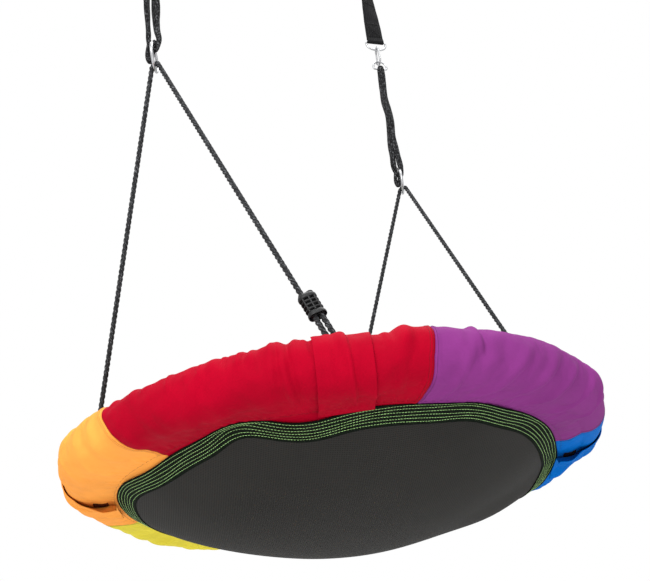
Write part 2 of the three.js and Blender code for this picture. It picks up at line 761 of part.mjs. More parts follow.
// One hanging line, from the crossbar down to its O-ring.
function buildLine(sign) {
  const line = new THREE.Group();
  const side = sideName(sign);
  line.position.x = sign * HANG_X;
  add(`tree_strap_${side}`, strap(), webbing, line);
  const strapRing = dRing(STRAP_RING_HALF_WIDTH, STRAP_BOW_HEIGHT - STRAP_BAR_HEIGHT);
  add(`strap_ring_${side}`, strapRing, zinc, line).position.z = level(STRAP_BAR_HEIGHT);
  const clip = new THREE.Group();
  clip.position.z = level(carabinerMiddle);
  add(`carabiner_${side}`, stood(carabinerBody(), CARABINER_TURN), zinc, clip);
  add(`carabiner_gate_${side}`, stood(carabinerGate(), CARABINER_TURN), zinc, clip);
  add(`gate_pin_${side}`, stood(gatePin(), CARABINER_TURN), zinc, clip);
  line.add(clip);
  const slingRing = dRing(SLING_RING_HALF_WIDTH, SLING_ARCH_HEIGHT - SLING_BAR_HEIGHT);
  add(`sling_ring_${side}`, slingRing, zinc, line).position.z = level(SLING_BAR_HEIGHT);
  add(`sling_${side}`, sling(), ropeBlack, line);
  const ring = stood(new THREE.TorusGeometry(O_RING_RADIUS, O_RING_WIRE, 6, 24), O_RING_TURN);
  add(`o_ring_${side}`, ring, zinc, line).position.z = level(RING_HEIGHT);
  swing.add(line);
}

buildLine(-1);
buildLine(1);
buildRopes();
buildRim();
buildFoam();
buildCover();
buildMat();

export default swing;
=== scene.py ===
import math
import random

import bmesh
import bpy
import numpy as np
from mathutils import Matrix, Vector


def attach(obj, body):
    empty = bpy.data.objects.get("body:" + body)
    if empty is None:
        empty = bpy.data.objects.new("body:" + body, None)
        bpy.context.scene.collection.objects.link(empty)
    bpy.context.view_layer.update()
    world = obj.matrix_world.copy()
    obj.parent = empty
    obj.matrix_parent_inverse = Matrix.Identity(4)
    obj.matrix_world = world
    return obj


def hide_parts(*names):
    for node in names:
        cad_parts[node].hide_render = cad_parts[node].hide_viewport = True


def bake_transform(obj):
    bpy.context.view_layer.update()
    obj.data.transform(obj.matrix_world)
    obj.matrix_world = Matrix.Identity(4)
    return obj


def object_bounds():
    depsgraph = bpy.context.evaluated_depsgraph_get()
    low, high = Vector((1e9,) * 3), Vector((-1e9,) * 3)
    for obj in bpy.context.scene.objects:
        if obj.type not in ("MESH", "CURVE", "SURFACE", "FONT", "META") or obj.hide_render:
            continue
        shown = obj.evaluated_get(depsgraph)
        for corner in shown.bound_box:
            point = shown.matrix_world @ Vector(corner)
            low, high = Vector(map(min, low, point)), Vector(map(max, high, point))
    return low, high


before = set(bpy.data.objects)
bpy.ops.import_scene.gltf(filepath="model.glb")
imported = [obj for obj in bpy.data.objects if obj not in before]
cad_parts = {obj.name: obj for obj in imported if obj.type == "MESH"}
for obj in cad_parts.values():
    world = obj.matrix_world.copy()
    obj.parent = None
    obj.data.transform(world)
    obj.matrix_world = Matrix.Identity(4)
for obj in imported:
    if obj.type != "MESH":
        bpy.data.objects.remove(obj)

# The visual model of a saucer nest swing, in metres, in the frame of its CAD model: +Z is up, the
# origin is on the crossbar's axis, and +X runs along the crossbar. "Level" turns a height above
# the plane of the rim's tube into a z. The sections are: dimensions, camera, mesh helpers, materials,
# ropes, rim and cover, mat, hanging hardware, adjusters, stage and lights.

cad_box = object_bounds()

# ---------------------------------------------------------------- driving dimensions

CROSSBAR_HEIGHT = 1.430
STRAP_BAR_HEIGHT = 1.186
STRAP_BOW_HEIGHT = 1.160
SLING_ARCH_HEIGHT = 1.121
SLING_BAR_HEIGHT = 1.097
RING_HEIGHT = 0.752
HANG_X = 0.3785
WIRE_HANG = 0.0066

RIM_RADIUS = 0.455
FOAM_RADIUS = 0.038
FOAM_BORE = 0.0185
FOAM_RELIEF = 0.030
COVER_RADIUS = 0.044
PANEL_SPAN = 60.0
RIM_DEGREE = math.radians(1) * RIM_RADIUS  # a degree's length along the tube

MAT_RADIUS = 0.400
MAT_EDGE_DEPTH = 0.043
MAT_SAG = 0.120
MAT_SAG_POWER = 2.4
BORDER_WIDTH = 0.031

ROPE_DIAMETER = 0.010
ROPE_PITCH = 0.030
ROPE_ANGLES = {"a": 135.0, "b": 225.0, "c": 315.0, "d": 45.0}
WRAP_RADIUS = 0.019
RING_BEND_RADIUS = 0.0112
STRAND_OFFSET = 0.0056
ADJUSTER_STARTS = {"a": 0.080, "b": 0.100, "c": 0.080, "d": 0.080}
ADJUSTER_LENGTH = 0.048
CUP_DEPTH = 0.012
CUP_OFFSET = 0.0066

O_RING_RADIUS = 0.028
O_RING_WIRE = 0.003
O_RING_TURN = 39.7
D_RING_WIRE = 0.0025
D_RING_CORNER = 0.005
D_RING_TURN = -30.0
STRAP_RING_HALF_WIDTH = 0.027
SLING_RING_HALF_WIDTH = 0.018
CARABINER_WIRE = 0.00275
CARABINER_TURN = 57.0
CARABINER_TOP_BEND = 0.009
CARABINER_FOOT_BEND = 0.011
GATE_RADIUS = 0.0023

STRAP_WIDTH = 0.044
STRAP_FLAT_TOP = -0.066
STRAP_FLAT_FOOT = 0.014
STRAP_THICKNESS = 0.0025
EYE_RADIUS = 0.028
SLING_FOOT_TURN = O_RING_TURN + 90
SLING_TOP_TURN = D_RING_TURN + 90

SIDES = {"left": -1, "right": 1}
UP = Vector((0, 0, 1))


def level(height):
    return height - CROSSBAR_HEIGHT


# ---------------------------------------------------------------- camera

CAMERA_PLACE = Vector((-1.4208, -1.2141, -1.9966))
CAMERA_AZIMUTH = math.radians(-50.1565)
CAMERA_ELEVATION = math.radians(-26.0547)
CAMERA_ROLL = math.radians(-7.9447)


def make_camera():
    data = bpy.data.cameras.new("camera")
    data.sensor_width = 36.0
    data.lens = 57.25
    data.clip_start = 0.05
    data.clip_end = 60.0
    camera = bpy.data.objects.new("camera", data)
    bpy.context.scene.collection.objects.link(camera)
    back = Vector((
        math.sin(CAMERA_AZIMUTH) * math.cos(CAMERA_ELEVATION),
        -math.cos(CAMERA_AZIMUTH) * math.cos(CAMERA_ELEVATION),
        math.sin(CAMERA_ELEVATION),
    ))
    right = (-back).cross(UP).normalized()
    up = right.cross(-back)
    rolled_right = right * math.cos(CAMERA_ROLL) + up * math.sin(CAMERA_ROLL)
    rolled_up = up * math.cos(CAMERA_ROLL) - right * math.sin(CAMERA_ROLL)
    turn = Matrix((rolled_right, rolled_up, back)).transposed()
    camera.matrix_world = Matrix.Translation(CAMERA_PLACE) @ turn.to_4x4()
    bpy.context.scene.camera = camera


make_camera()

# ---------------------------------------------------------------- mesh helpers


def grid_faces(rows, columns, close_rows=False, close_columns=False):
    """Quads of a grid of points, row by row, as an array of indices."""
    i = np.arange(rows if close_rows else rows - 1)
    j = np.arange(columns if close_columns else columns - 1)
    a, b = np.meshgrid(i, j, indexing="ij")
    c, d = (a + 1) % rows, (b + 1) % columns
    quads = np.stack([a * columns + b, c * columns + b, c * columns + d, a * columns + d], axis=-1)
    return quads.reshape(-1, 4)


def make_piece(name, points, faces, finish, uv=None, smooth=True):
    """A mesh object of a material. uv is one pair for each point, in metres along the cloth."""
    mesh = bpy.data.meshes.new(name)
    corners = [tuple(int(k) for k in face) for face in faces]
    mesh.from_pydata(np.asarray(points, float).reshape(-1, 3).tolist(), [], corners)
    if uv is not None:
        layer = mesh.uv_layers.new(name="cloth")
        loops = np.empty(len(mesh.loops), np.int64)
        mesh.loops.foreach_get("vertex_index", loops)
        layer.data.foreach_set("uv", np.asarray(uv, np.float32).reshape(-1, 2)[loops].ravel())
    if smooth:
        mesh.polygons.foreach_set("use_smooth", np.ones(len(mesh.polygons), bool))
    mesh.materials.append(finish)
    piece = bpy.data.objects.new(name, mesh)
    bpy.context.scene.collection.objects.link(piece)
    return piece


def assign(piece, slot_name, body, *nodes):
    """Hangs a piece on the body it rides on and hides the CAD nodes it stands for. slot_name is not used."""
    if nodes:
        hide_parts(*nodes)
    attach(piece, body)
    return piece


def thickened(piece, thickness, offset):
    """Turns a sheet into a shell of real thickness."""
    solidify = piece.modifiers.new("thickness", "SOLIDIFY")
    solidify.thickness = thickness
    solidify.offset = offset
    return finish_modifiers(piece)


def merged(parts):
    """Several (points, faces) pairs as one pair."""
    points, faces, start = [], [], 0
    for part_points, part_faces in parts:
        part_points = np.asarray(part_points, float).reshape(-1, 3)
        points.append(part_points)
        faces.extend([tuple(int(k) + start for k in face) for face in part_faces])
        start += len(part_points)
    return np.concatenate(points), faces


def smooth_path(points, step, closed=False):
    """A Catmull-Rom curve through the points, at an even spacing of about step."""
    p = np.array([tuple(q) for q in points], float)
    width = p.shape[1]
    if closed:
        p = np.vstack([p[-1], p, p[0], p[1]])
    else:
        p = np.vstack([2 * p[0] - p[1], p, 2 * p[-1] - p[-2]])
    fine = []
    for k in range(1, len(p) - 2):
        t = np.linspace(0, 1, 24, endpoint=False)[:, None]
        a, b, c, d = p[k - 1], p[k], p[k + 1], p[k + 2]
        fine.append(0.5 * (2 * b + (c - a) * t + (2 * a - 5 * b + 4 * c - d) * t**2
                           + (3 * b - a - 3 * c + d) * t**3))
    fine = np.vstack(fine + [p[-2][None]])
    lengths = along(fine[:, :3])
    count = max(2, int(round(lengths[-1] / step)))
    even = np.linspace(0, lengths[-1], count + 1)
    out = np.stack([np.interp(even, lengths, fine[:, k]) for k in range(width)], axis=1)
    return out[:-1] if closed else out


def frames_along(path, closed=False, first=None):
    """Tangents and two unit sideways directions at each point, with the least twist."""
    if closed:
        tangents = np.roll(path, -1, axis=0) - np.roll(path, 1, axis=0)
    else:
        tangents = np.gradient(path, axis=0)
    tangents /= np.linalg.norm(tangents, axis=1)[:, None]
    seed = np.array(first if first is not None else (0, 0, 1), float)
    if first is None and abs(tangents[0] @ seed) > 0.9:
        seed = np.array([1.0, 0, 0])
    normal = seed - tangents[0] * (tangents[0] @ seed)
    normal /= np.linalg.norm(normal)
    normals = [normal]
    for k in range(1, len(path)):
        normal = normal - tangents[k] * (tangents[k] @ normal)
        normal = normal / np.linalg.norm(normal)
        normals.append(normal)
    normals = np.array(normals)
    return tangents, normals, np.cross(tangents, normals)


def along(path):
    return np.concatenate([[0], np.cumsum(np.linalg.norm(np.diff(path, axis=0), axis=1))])


def skin_faces(length, sides, closed):
    """Faces of rings of points along a path, with a cap on each end of an open one."""
    faces = [tuple(f) for f in grid_faces(length, sides, closed, True)[:, ::-1]]
    if not closed:
        total = length * sides
        faces += [tuple(range(sides)), tuple(range(total - 1, total - sides - 1, -1))]
    return faces


def tube(path, radius, sides=16, closed=False, first=None):
    """(points, faces) of a round bar along a path. radius is a number or one for each point."""
    _, normals, binormals = frames_along(path, closed, first)
    angle = np.linspace(0, 2 * math.pi, sides, endpoint=False)
    radii = np.broadcast_to(np.asarray(radius, float), (len(path),))[:, None, None]
    ring = (np.cos(angle)[None, :, None] * normals[:, None]
            + np.sin(angle)[None, :, None] * binormals[:, None])
    return (path[:, None] + radii * ring).reshape(-1, 3), skin_faces(len(path), sides, closed)


def swept_section(path, section, closed, first):
    """(points, faces) of a fixed outline, given as (sideways, across) pairs, along a path."""
    _, normals, binormals = frames_along(path, closed, first)
    section = np.broadcast_to(section, (len(path), *section.shape))
    points = (path[:, None] + section[..., :1] * normals[:, None]
              + section[..., 1:] * binormals[:, None]).reshape(-1, 3)
    return points, skin_faces(len(path), section.shape[1], closed)


def rounded_section(half_width, half_thickness, corner, steps=3):
    """The outline of a flat bar with round corners, as (sideways, across) pairs."""
    outline = []
    for quarter, (sx, sy) in enumerate([(1, 1), (-1, 1), (-1, -1), (1, -1)]):
        for k in range(steps + 1):
            a = math.radians(90 * quarter + 90 * k / steps)
            outline.append((sx * (half_width - corner) + corner * math.cos(a),
                            sy * (half_thickness - corner) + corner * math.sin(a)))
    return outline


def face_outward(piece):
    edit = bmesh.new()
    edit.from_mesh(piece.data)
    bmesh.ops.recalc_face_normals(edit, faces=edit.faces)
    edit.to_mesh(piece.data)
    edit.free()
    return piece


def finish_modifiers(piece):
    """Applies every modifier of a piece, so that what is left is a plain mesh."""
    bpy.context.view_layer.update()
    evaluated = piece.evaluated_get(bpy.context.evaluated_depsgraph_get())
    mesh = bpy.data.meshes.new_from_object(evaluated)
    piece.modifiers.clear()
    piece.data = mesh
    return piece


# ---------------------------------------------------------------- material helpers


class Nodes:
    """A short way to write a material's node tree."""

    def __init__(self, name, roughness, metallic=0.0, specular=0.5, sheen=0.0):
        self.material = bpy.data.materials.new(name)
        self.material.use_nodes = True
        self.tree = self.material.node_tree
        self.shader = self.tree.nodes["Principled BSDF"]
        self.shader.inputs["Roughness"].default_value = roughness
        self.shader.inputs["Metallic"].default_value = metallic
        self.shader.inputs["Specular IOR Level"].default_value = specular
        self.shader.inputs["Sheen Weight"].default_value = sheen

    def node(self, kind, links=(), **settings):
        made = self.tree.nodes.new(kind)
        for key, value in settings.items():
            if hasattr(made, key):
                setattr(made, key, value)
            else:
                made.inputs[key.replace("_", " ")].default_value = value
        for socket, source in dict(links).items():
            self.tree.links.new(source, made.inputs[socket])
        return made

    def place(self, kind="Object", scale=(1, 1, 1), turn=(0, 0, 0)):
        source = self.node("ShaderNodeTexCoord").outputs[kind]
        return self.node("ShaderNodeMapping", {"Vector": source}, Scale=scale, Rotation=turn).outputs[0]

    def noise(self, vector, scale, detail=3.0, roughness=0.55):
        return self.node("ShaderNodeTexNoise", {"Vector": vector}, Scale=scale, Detail=detail,
                         Roughness=roughness).outputs["Fac"]

    def wave(self, vector, scale, direction="X", distortion=0.0):
        return self.node("ShaderNodeTexWave", {"Vector": vector}, bands_direction=direction,
                         Scale=scale, Distortion=distortion).outputs["Fac"]

    def math(self, operation, a, b=0.0):
        made = self.node("ShaderNodeMath", operation=operation)
        for socket, value in zip(made.inputs, (a, b)):
            if isinstance(value, (int, float)):
                socket.default_value = value
            else:
                self.tree.links.new(value, socket)
        return made.outputs[0]

    def ramp(self, factor, stops):
        made = self.node("ShaderNodeValToRGB", {"Fac": factor})
        elements = made.color_ramp.elements
        while len(elements) < len(stops):
            elements.new(0.5)
        for element, (position, value) in zip(elements, stops):
            element.position = position
            element.color = (*value, 1) if isinstance(value, tuple) else (value, value, value, 1)
        return made.outputs["Color"]

    def mix(self, factor, a, b, blend="MIX"):
        made = self.node("ShaderNodeMix", data_type="RGBA", blend_type=blend)
        for socket, value in zip((made.inputs[0], made.inputs[6], made.inputs[7]), (factor, a, b)):
            if isinstance(value, (int, float)):
                socket.default_value = value
            elif isinstance(value, tuple):
                socket.default_value = (*value, 1)
            else:
                self.tree.links.new(value, socket)
        return made.outputs[2]

    def colour(self, source):
        self.tree.links.new(source, self.shader.inputs["Base Color"])

    def roughness(self, source):
        self.tree.links.new(source, self.shader.inputs["Roughness"])

    def bump(self, height, strength, distance, after=None):
        made = self.node("ShaderNodeBump", {"Height": height}, Strength=strength, Distance=distance)
        if after is not None:
            self.tree.links.new(after, made.inputs["Normal"])
        self.tree.links.new(made.outputs[0], self.shader.inputs["Normal"])
        return made.outputs[0]


def shade(colour, factor):
    return tuple(min(1.0, c * factor) for c in colour)


def weave_height(nodes, vector, threads_per_metre):
    """The height of a plain weave: two crossed sets of threads that pass over each other."""
    scale = threads_per_metre * math.pi / 20
    warp = nodes.wave(vector, scale, "X")
    weft = nodes.wave(vector, scale, "Y")
    return nodes.math("MAXIMUM", nodes.math("MULTIPLY", warp, 0.9), weft)


def cover_fabric(name, colour):
    """Coated woven polyester: a fine weave, soft mottling and thread crests slightly lighter than the
    grooves between them.
    """
    nodes = Nodes(name, roughness=0.74, specular=0.035)
    cloth = nodes.place("UV")
    blotches = nodes.noise(nodes.place(), 9.0, 4.0, 0.6)
    fibres = nodes.noise(nodes.place("UV", (1, 6, 1)), 260.0, 2.0)
    base = nodes.ramp(blotches, [(0.3, shade(colour, 0.9)), (0.7, shade(colour, 1.1))])
    threads = weave_height(nodes, cloth, 1150.0)
    base = nodes.mix(0.16, base, nodes.ramp(fibres, [(0.35, 0.55), (0.65, 1.0)]), "MULTIPLY")
    nodes.colour(nodes.mix(0.2, base, nodes.ramp(threads, [(0.2, 0.6), (0.9, 1.0)]), "MULTIPLY"))
    nodes.roughness(nodes.ramp(blotches, [(0.25, 0.64), (0.75, 0.80)]))
    crumple = nodes.noise(nodes.place(), 38.0, 5.0, 0.6)
    soft = nodes.bump(crumple, 0.25, 0.002)
    nodes.bump(threads, 0.35, 0.0003, soft)
    return nodes.material


def mesh_fabric():
    """Charcoal woven mesh: flat yarns that cross, with small dark gaps between them."""
    nodes = Nodes("mesh_fabric", roughness=0.78, specular=0.04, sheen=0.01)
    cloth = nodes.place("UV", turn=(0, 0, math.radians(38)))
    threads = weave_height(nodes, cloth, 540.0)
    tone = nodes.noise(nodes.place(), 5.0, 3.0)
    base = nodes.ramp(tone, [(0.3, (0.021, 0.0202, 0.0188)), (0.7, (0.0255, 0.0246, 0.0228))])
    nodes.colour(nodes.mix(0.4, base, nodes.ramp(threads, [(0.15, 0.2), (0.75, 1.15)]), "MULTIPLY"))
    nodes.roughness(nodes.ramp(threads, [(0.2, 0.82), (0.9, 0.66)]))
    nodes.bump(threads, 0.3, 0.0003)
    return nodes.material


def border_tape():
    nodes = Nodes("border_tape", roughness=0.85, specular=0.03)
    threads = weave_height(nodes, nodes.place("UV"), 800.0)
    tone = nodes.noise(nodes.place("UV"), 60.0, 3.0)
    base = nodes.ramp(tone, [(0.3, (0.004, 0.0065, 0.004)), (0.7, (0.008, 0.012, 0.008))])
    nodes.colour(nodes.mix(0.5, base, nodes.ramp(threads, [(0.2, 0.4), (0.9, 1.2)]), "MULTIPLY"))
    nodes.bump(threads, 0.6, 0.0004)
    return nodes.material


def thread_material(name, colour):
    """Sewing thread with a fine twist."""
    nodes = Nodes(name, roughness=0.6, specular=0.12)
    twist = nodes.wave(nodes.place("Object", turn=(0.4, 0.7, 0.3)), 700.0, "DIAGONAL")
    tone = nodes.noise(nodes.place(), 70.0, 2.0)
    base = nodes.ramp(tone, [(0.3, shade(colour, 0.75)), (0.7, shade(colour, 1.2))])
    nodes.colour(nodes.mix(0.35, base, nodes.ramp(twist, [(0.2, 0.45), (0.8, 1.1)]), "MULTIPLY"))
    nodes.bump(twist, 0.3, 0.0002)
    return nodes.material


def rope_material():
    """Black polyester yarns with paler filaments. The UV's u is round the rope, v along it."""
    nodes = Nodes("rope", roughness=0.68, specular=0.12)
    yarns = nodes.noise(nodes.place("UV", (26, 260, 1)), 1.0, 3.0, 0.6)
    flecks = nodes.noise(nodes.place("UV", (9, 130, 1)), 1.0, 4.0, 0.75)
    base = nodes.ramp(yarns, [(0.3, (0.004, 0.0043, 0.0046)), (0.72, (0.030, 0.031, 0.033))])
    pale = nodes.ramp(flecks, [(0.53, 0.0), (0.68, 0.95)])
    nodes.colour(nodes.mix(pale, base, (0.20, 0.208, 0.22)))
    fibres = nodes.wave(nodes.place("UV"), 9.0, "X", 1.2)
    nodes.bump(nodes.math("ADD", nodes.math("MULTIPLY", fibres, 0.5), yarns), 0.6, 0.0006)
    return nodes.material


def webbing_material(name, ribs_per_metre, tone=1.0, flecked=0.0):
    """Flat woven webbing: chevron ribs along the length, made from the cloth's own UV."""
    nodes = Nodes(name, roughness=0.75, specular=0.05)
    cloth = nodes.place("UV")
    ribs = nodes.wave(cloth, ribs_per_metre * math.pi / 20, "Y", 0.6)
    columns = nodes.wave(cloth, ribs_per_metre * math.pi / 34, "X", 0.3)
    height = nodes.math("MULTIPLY", ribs, nodes.math("ADD", columns, 0.35))
    grime = nodes.noise(nodes.place(), 30.0, 4.0, 0.6)
    base = nodes.ramp(grime, [(0.3, shade((0.006, 0.006, 0.0065), tone)),
                              (0.7, shade((0.013, 0.013, 0.0135), tone))])
    base = nodes.mix(0.6, base, nodes.ramp(height, [(0.1, 0.35), (0.8, 1.5)]), "MULTIPLY")
    pale = nodes.noise(nodes.place("Object", (1, 1, 0.6)), 420.0, 3.0, 0.7)
    nodes.colour(nodes.mix(nodes.ramp(pale, [(0.53, 0.0), (0.66, flecked)]), base, (0.17, 0.175, 0.185)))
    nodes.bump(nodes.math("ADD", height, nodes.math("MULTIPLY", pale, flecked)), 0.5, 0.0005)
    return nodes.material


def metal_material(name, colour, roughness, scratch_scale):
    """Plated or galvanised steel, with clouded brightness and fine scratches."""
    nodes = Nodes(name, roughness=roughness, metallic=1.0)
    clouds = nodes.noise(nodes.place(), 60.0, 4.0, 0.6)
    scratches = nodes.noise(nodes.place("Object", (1, 1, 6)), scratch_scale, 3.0)
    nodes.colour(nodes.ramp(clouds, [(0.3, shade(colour, 0.82)), (0.7, shade(colour, 1.05))]))
    nodes.roughness(nodes.ramp(scratches, [(0.3, roughness * 0.7), (0.7, roughness * 1.35)]))
    nodes.bump(scratches, 0.12, 0.0003)
    return nodes.material


def plastic_material(name, colour, grain):
    """Moulded plastic: spark-eroded grain and paler rubbed patches."""
    nodes = Nodes(name, roughness=0.5, specular=0.22)
    rub = nodes.noise(nodes.place(), 90.0, 4.0, 0.65)
    pits = nodes.noise(nodes.place(), grain, 2.0)
    nodes.colour(nodes.ramp(rub, [(0.35, shade(colour, 0.75)), (0.7, shade(colour, 1.5))]))
    nodes.roughness(nodes.ramp(rub, [(0.3, 0.36), (0.7, 0.56)]))
    nodes.bump(pits, 0.25, 0.0003)
    return nodes.material


def foam_material():
    """Closed-cell foam: a skin of small pits."""
    nodes = Nodes("foam", roughness=0.9, specular=0.25)
    cells = nodes.node("ShaderNodeTexVoronoi", {"Vector": nodes.place()}, Scale=420.0).outputs[0]
    tone = nodes.noise(nodes.place(), 25.0, 3.0)
    base = nodes.ramp(tone, [(0.3, (0.035, 0.035, 0.038)), (0.7, (0.06, 0.06, 0.064))])
    nodes.colour(nodes.mix(0.5, base, nodes.ramp(cells, [(0.1, 0.5), (0.6, 1.0)]), "MULTIPLY"))
    nodes.bump(cells, 0.6, 0.0008)
    return nodes.material


def hook_tape_material(name, colour):
    """Hook-and-loop tape: a dense pile of tiny hooks."""
    nodes = Nodes(name, roughness=0.95, specular=0.04)
    hooks = nodes.node("ShaderNodeTexVoronoi", {"Vector": nodes.place()}, Scale=900.0).outputs[0]
    nodes.colour(nodes.ramp(hooks, [(0.1, shade(colour, 1.7)), (0.7, shade(colour, 0.35))]))
    nodes.bump(hooks, 1.0, 0.001)
    return nodes.material


def floor_material():
    nodes = Nodes("floor", roughness=0.8, specular=0.2)
    tone = nodes.noise(nodes.place(), 0.7, 2.0)
    nodes.colour(nodes.ramp(tone, [(0.3, 0.86), (0.7, 0.9)]))
    return nodes.material


COVER_COLOURS = {
    "green": (0.014, 0.24, 0.045),
    "yellow": (0.68, 0.58, 0.05),
    "orange": (0.86, 0.33, 0.06),
    "red": (0.325, 0.0, 0.0125),
    "purple": (0.196, 0.030, 0.178),
    "blue": (0.0, 0.115, 0.44),
}
COVERS = {name: cover_fabric(f"cover_{name}", colour) for name, colour in COVER_COLOURS.items()}
COVER_THREADS = {name: thread_material(f"thread_{name}", shade(colour, 0.6))
                 for name, colour in COVER_COLOURS.items()}
MESH = mesh_fabric()
BORDER = border_tape()
GREEN_THREAD = thread_material("thread_border", (0.42, 0.72, 0.26))
ROPE = rope_material()
WEBBING = webbing_material("strap_webbing", 560.0)
BRAID = webbing_material("sling_braid", 330.0, 1.15, 0.8)
BLACK_THREAD = thread_material("thread_black", (0.016, 0.016, 0.017))
ZINC = metal_material("zinc_steel", (0.46, 0.465, 0.475), 0.34, 400.0)
TUBE_STEEL = metal_material("tube_steel", (0.5, 0.51, 0.53), 0.38, 200.0)
PLASTIC = plastic_material("adjuster_plastic", (0.009, 0.0095, 0.010), 1400.0)
FOAM = foam_material()
# The tapes are real, but each is coloured as a far darker copy of its flap's colour: painted shade of the
# gap where the flap stands off the cover.
HOOK_TAPES = {letter: hook_tape_material(f"hook_tape_{name}", colour) for letter, name, colour in (
    ("a", "orange_painted_shade", (0.09, 0.022, 0.008)), ("b", "red", (0.12, 0.008, 0.012)),
    ("c", "blue", (0.02, 0.01, 0.012)), ("d", "green", (0.012, 0.05, 0.018)))}
FLOOR = floor_material()

# ---------------------------------------------------------------- ropes


def on_rim(angle, radius, height):
    a = math.radians(angle)
    return Vector((radius * math.cos(a), radius * math.sin(a), level(height)))


class Hold:
    """One place where a rope holds the rim, with the leg that leaves it."""

    def __init__(self, angle, adjuster_start):
        self.angle = angle
        self.adjuster_start = adjuster_start
        self.radial = on_rim(angle, 1.0, CROSSBAR_HEIGHT)
        self.centre = on_rim(angle, RIM_RADIUS, 0)
        self.inward = Vector((-self.radial.y, self.radial.x, 0))
        self.inward *= -math.copysign(1, self.centre.y * self.inward.y)
        self.side = math.copysign(1, self.centre.y)
        self.ring_wire = Vector((
            math.copysign(HANG_X, self.centre.x), 0, level(RING_HEIGHT) - O_RING_RADIUS))
        self.foot = self.centre + self.inward * STRAND_OFFSET
        drop = self.ring_wire.z - self.foot.z
        reach = math.hypot(self.foot.y, drop)
        steepness = math.atan2(drop, abs(self.foot.y))
        self.tangent_angle = math.pi / 2 - steepness + math.asin(RING_BEND_RADIUS / reach)
        leave = self.ring_wire + self.over_ring(self.tangent_angle)
        self.leg = (leave - self.foot).normalized()
        self.across = (self.inward - self.leg * self.inward.dot(self.leg)).normalized()
        self.through = self.leg.cross(self.across)

    def over_ring(self, angle):
        bend = Vector((0, self.side * math.cos(angle), math.sin(angle)))
        return bend * RING_BEND_RADIUS

    def beside_tube(self, forward, turn):
        a = math.radians(turn)
        return (self.centre + self.inward * forward + self.radial * (WRAP_RADIUS * math.cos(a))
                + UP * (WRAP_RADIUS * math.sin(a)))

    def main_wrap(self):
        """From the bottom of the tube, up its outer side and on to the leg."""
        turns = [-83, -60, -35, -10, 15]
        wrap = [self.beside_tube(STRAND_OFFSET * i / 4, turn) for i, turn in enumerate(turns)]
        leg_start = self.foot + self.leg * 0.056
        between = wrap[-1].lerp(leg_start, 0.5) + self.radial * 0.0015
        return [*wrap, between, leg_start]

    def tail_route(self):
        """From the bottom of the tube, up its inner side and into the adjuster."""
        turns = [-97, -120, -145, -170, -195]
        wrap = [self.beside_tube(-STRAND_OFFSET * i / 4, turn) for i, turn in enumerate(turns)]
        line = self.foot - self.across * (2 * STRAND_OFFSET)
        start = line + self.leg * 0.060
        between = wrap[-1].lerp(start, 0.5) - self.radial * 0.0015
        end = line + self.leg * (self.adjuster_start + ADJUSTER_LENGTH - CUP_DEPTH)
        return [*wrap, between, start, end]


HOLDS = {letter: Hold(ROPE_ANGLES[letter], ADJUSTER_STARTS[letter]) for letter in ROPE_ANGLES}


def v_rope_route(first, second):
    """The V-rope's route: up one leg, over the O-ring and down the other leg."""
    steps = 8
    start = first.tangent_angle
    bend = [first.ring_wire + first.over_ring(start + (math.pi - 2 * start) * i / steps)
            for i in range(steps + 1)]
    return [*first.main_wrap(), *bend, *reversed(second.main_wrap())]


def laid_rope(path):
    """(points, faces, uv) of a rope of three strands laid together, as one skin."""
    strand_radius = 0.272 * ROPE_DIAMETER
    strand_offset = 0.5 * ROPE_DIAMETER - strand_radius
    sides = 27
    _, normals, binormals = frames_along(path, first=(0, 1, 0.2))
    length = along(path)
    phase = np.linspace(0, 2 * math.pi, sides, endpoint=False)
    nearest = (phase + math.pi / 3) % (2 * math.pi / 3) - math.pi / 3
    skin = strand_offset * np.cos(nearest) + np.sqrt(
        strand_radius**2 - (strand_offset * np.sin(nearest)) ** 2)
    turn = phase[None, :] - (2 * math.pi / ROPE_PITCH) * length[:, None]
    ring = (np.cos(turn)[..., None] * normals[:, None] + np.sin(turn)[..., None] * binormals[:, None])
    points = path[:, None] + skin[None, :, None] * ring
    faces = skin_faces(len(path), sides, False)
    uv = np.stack(np.broadcast_arrays((turn / (2 * math.pi)) * 0.25 + phase[None] / (2 * math.pi),
                                      length[:, None]), axis=-1)
    return points.reshape(-1, 3), faces, uv.reshape(-1, 2)


def make_v_rope(side, first, second):
    route = v_rope_route(first, second)
    ends_of_wraps = len(first.main_wrap()) - 1
    dense = []
    for k, point in enumerate(route):
        dense.append(point)
        if k in (ends_of_wraps, len(route) - 2 - ends_of_wraps):
            dense.extend(point.lerp(route[k + 1], t / 12) for t in range(1, 12))
    path = smooth_path(dense, 0.0025)
    points, faces, uv = laid_rope(path)
    rope = make_piece(f"v_rope_{side}_laid", points, faces, ROPE, uv)
    assign(rope, "rope", "seat", f"v_rope_{side}")


def make_rope_tail(letter, hold):
    path = smooth_path(hold.tail_route(), 0.0025)
    points, faces, uv = laid_rope(path)
    tail = make_piece(f"rope_tail_{letter}_laid", points, faces, ROPE, uv)
    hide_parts(f"rope_tail_{letter}")
    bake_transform(tail)


make_v_rope("left", HOLDS["a"], HOLDS["b"])
make_v_rope("right", HOLDS["d"], HOLDS["c"])
for letter, hold in HOLDS.items():
    make_rope_tail(letter, hold)

# ---------------------------------------------------------------- rim and cover

# The cover's section is followed from its lower lip at the mat, out under the foam, up round the
# outside, over the top and down to its upper lip. s runs from 0 to 1 between the lips' seams, and
# a little past them, where the lips are tucked in above the mat.
LIP_REACH = 0.0535
LIP_DEPTH = 0.0445
TUCKED_REACH = 0.0760
UPPER_LIP_HEIGHT = -0.0395
TOP_END = 165.0


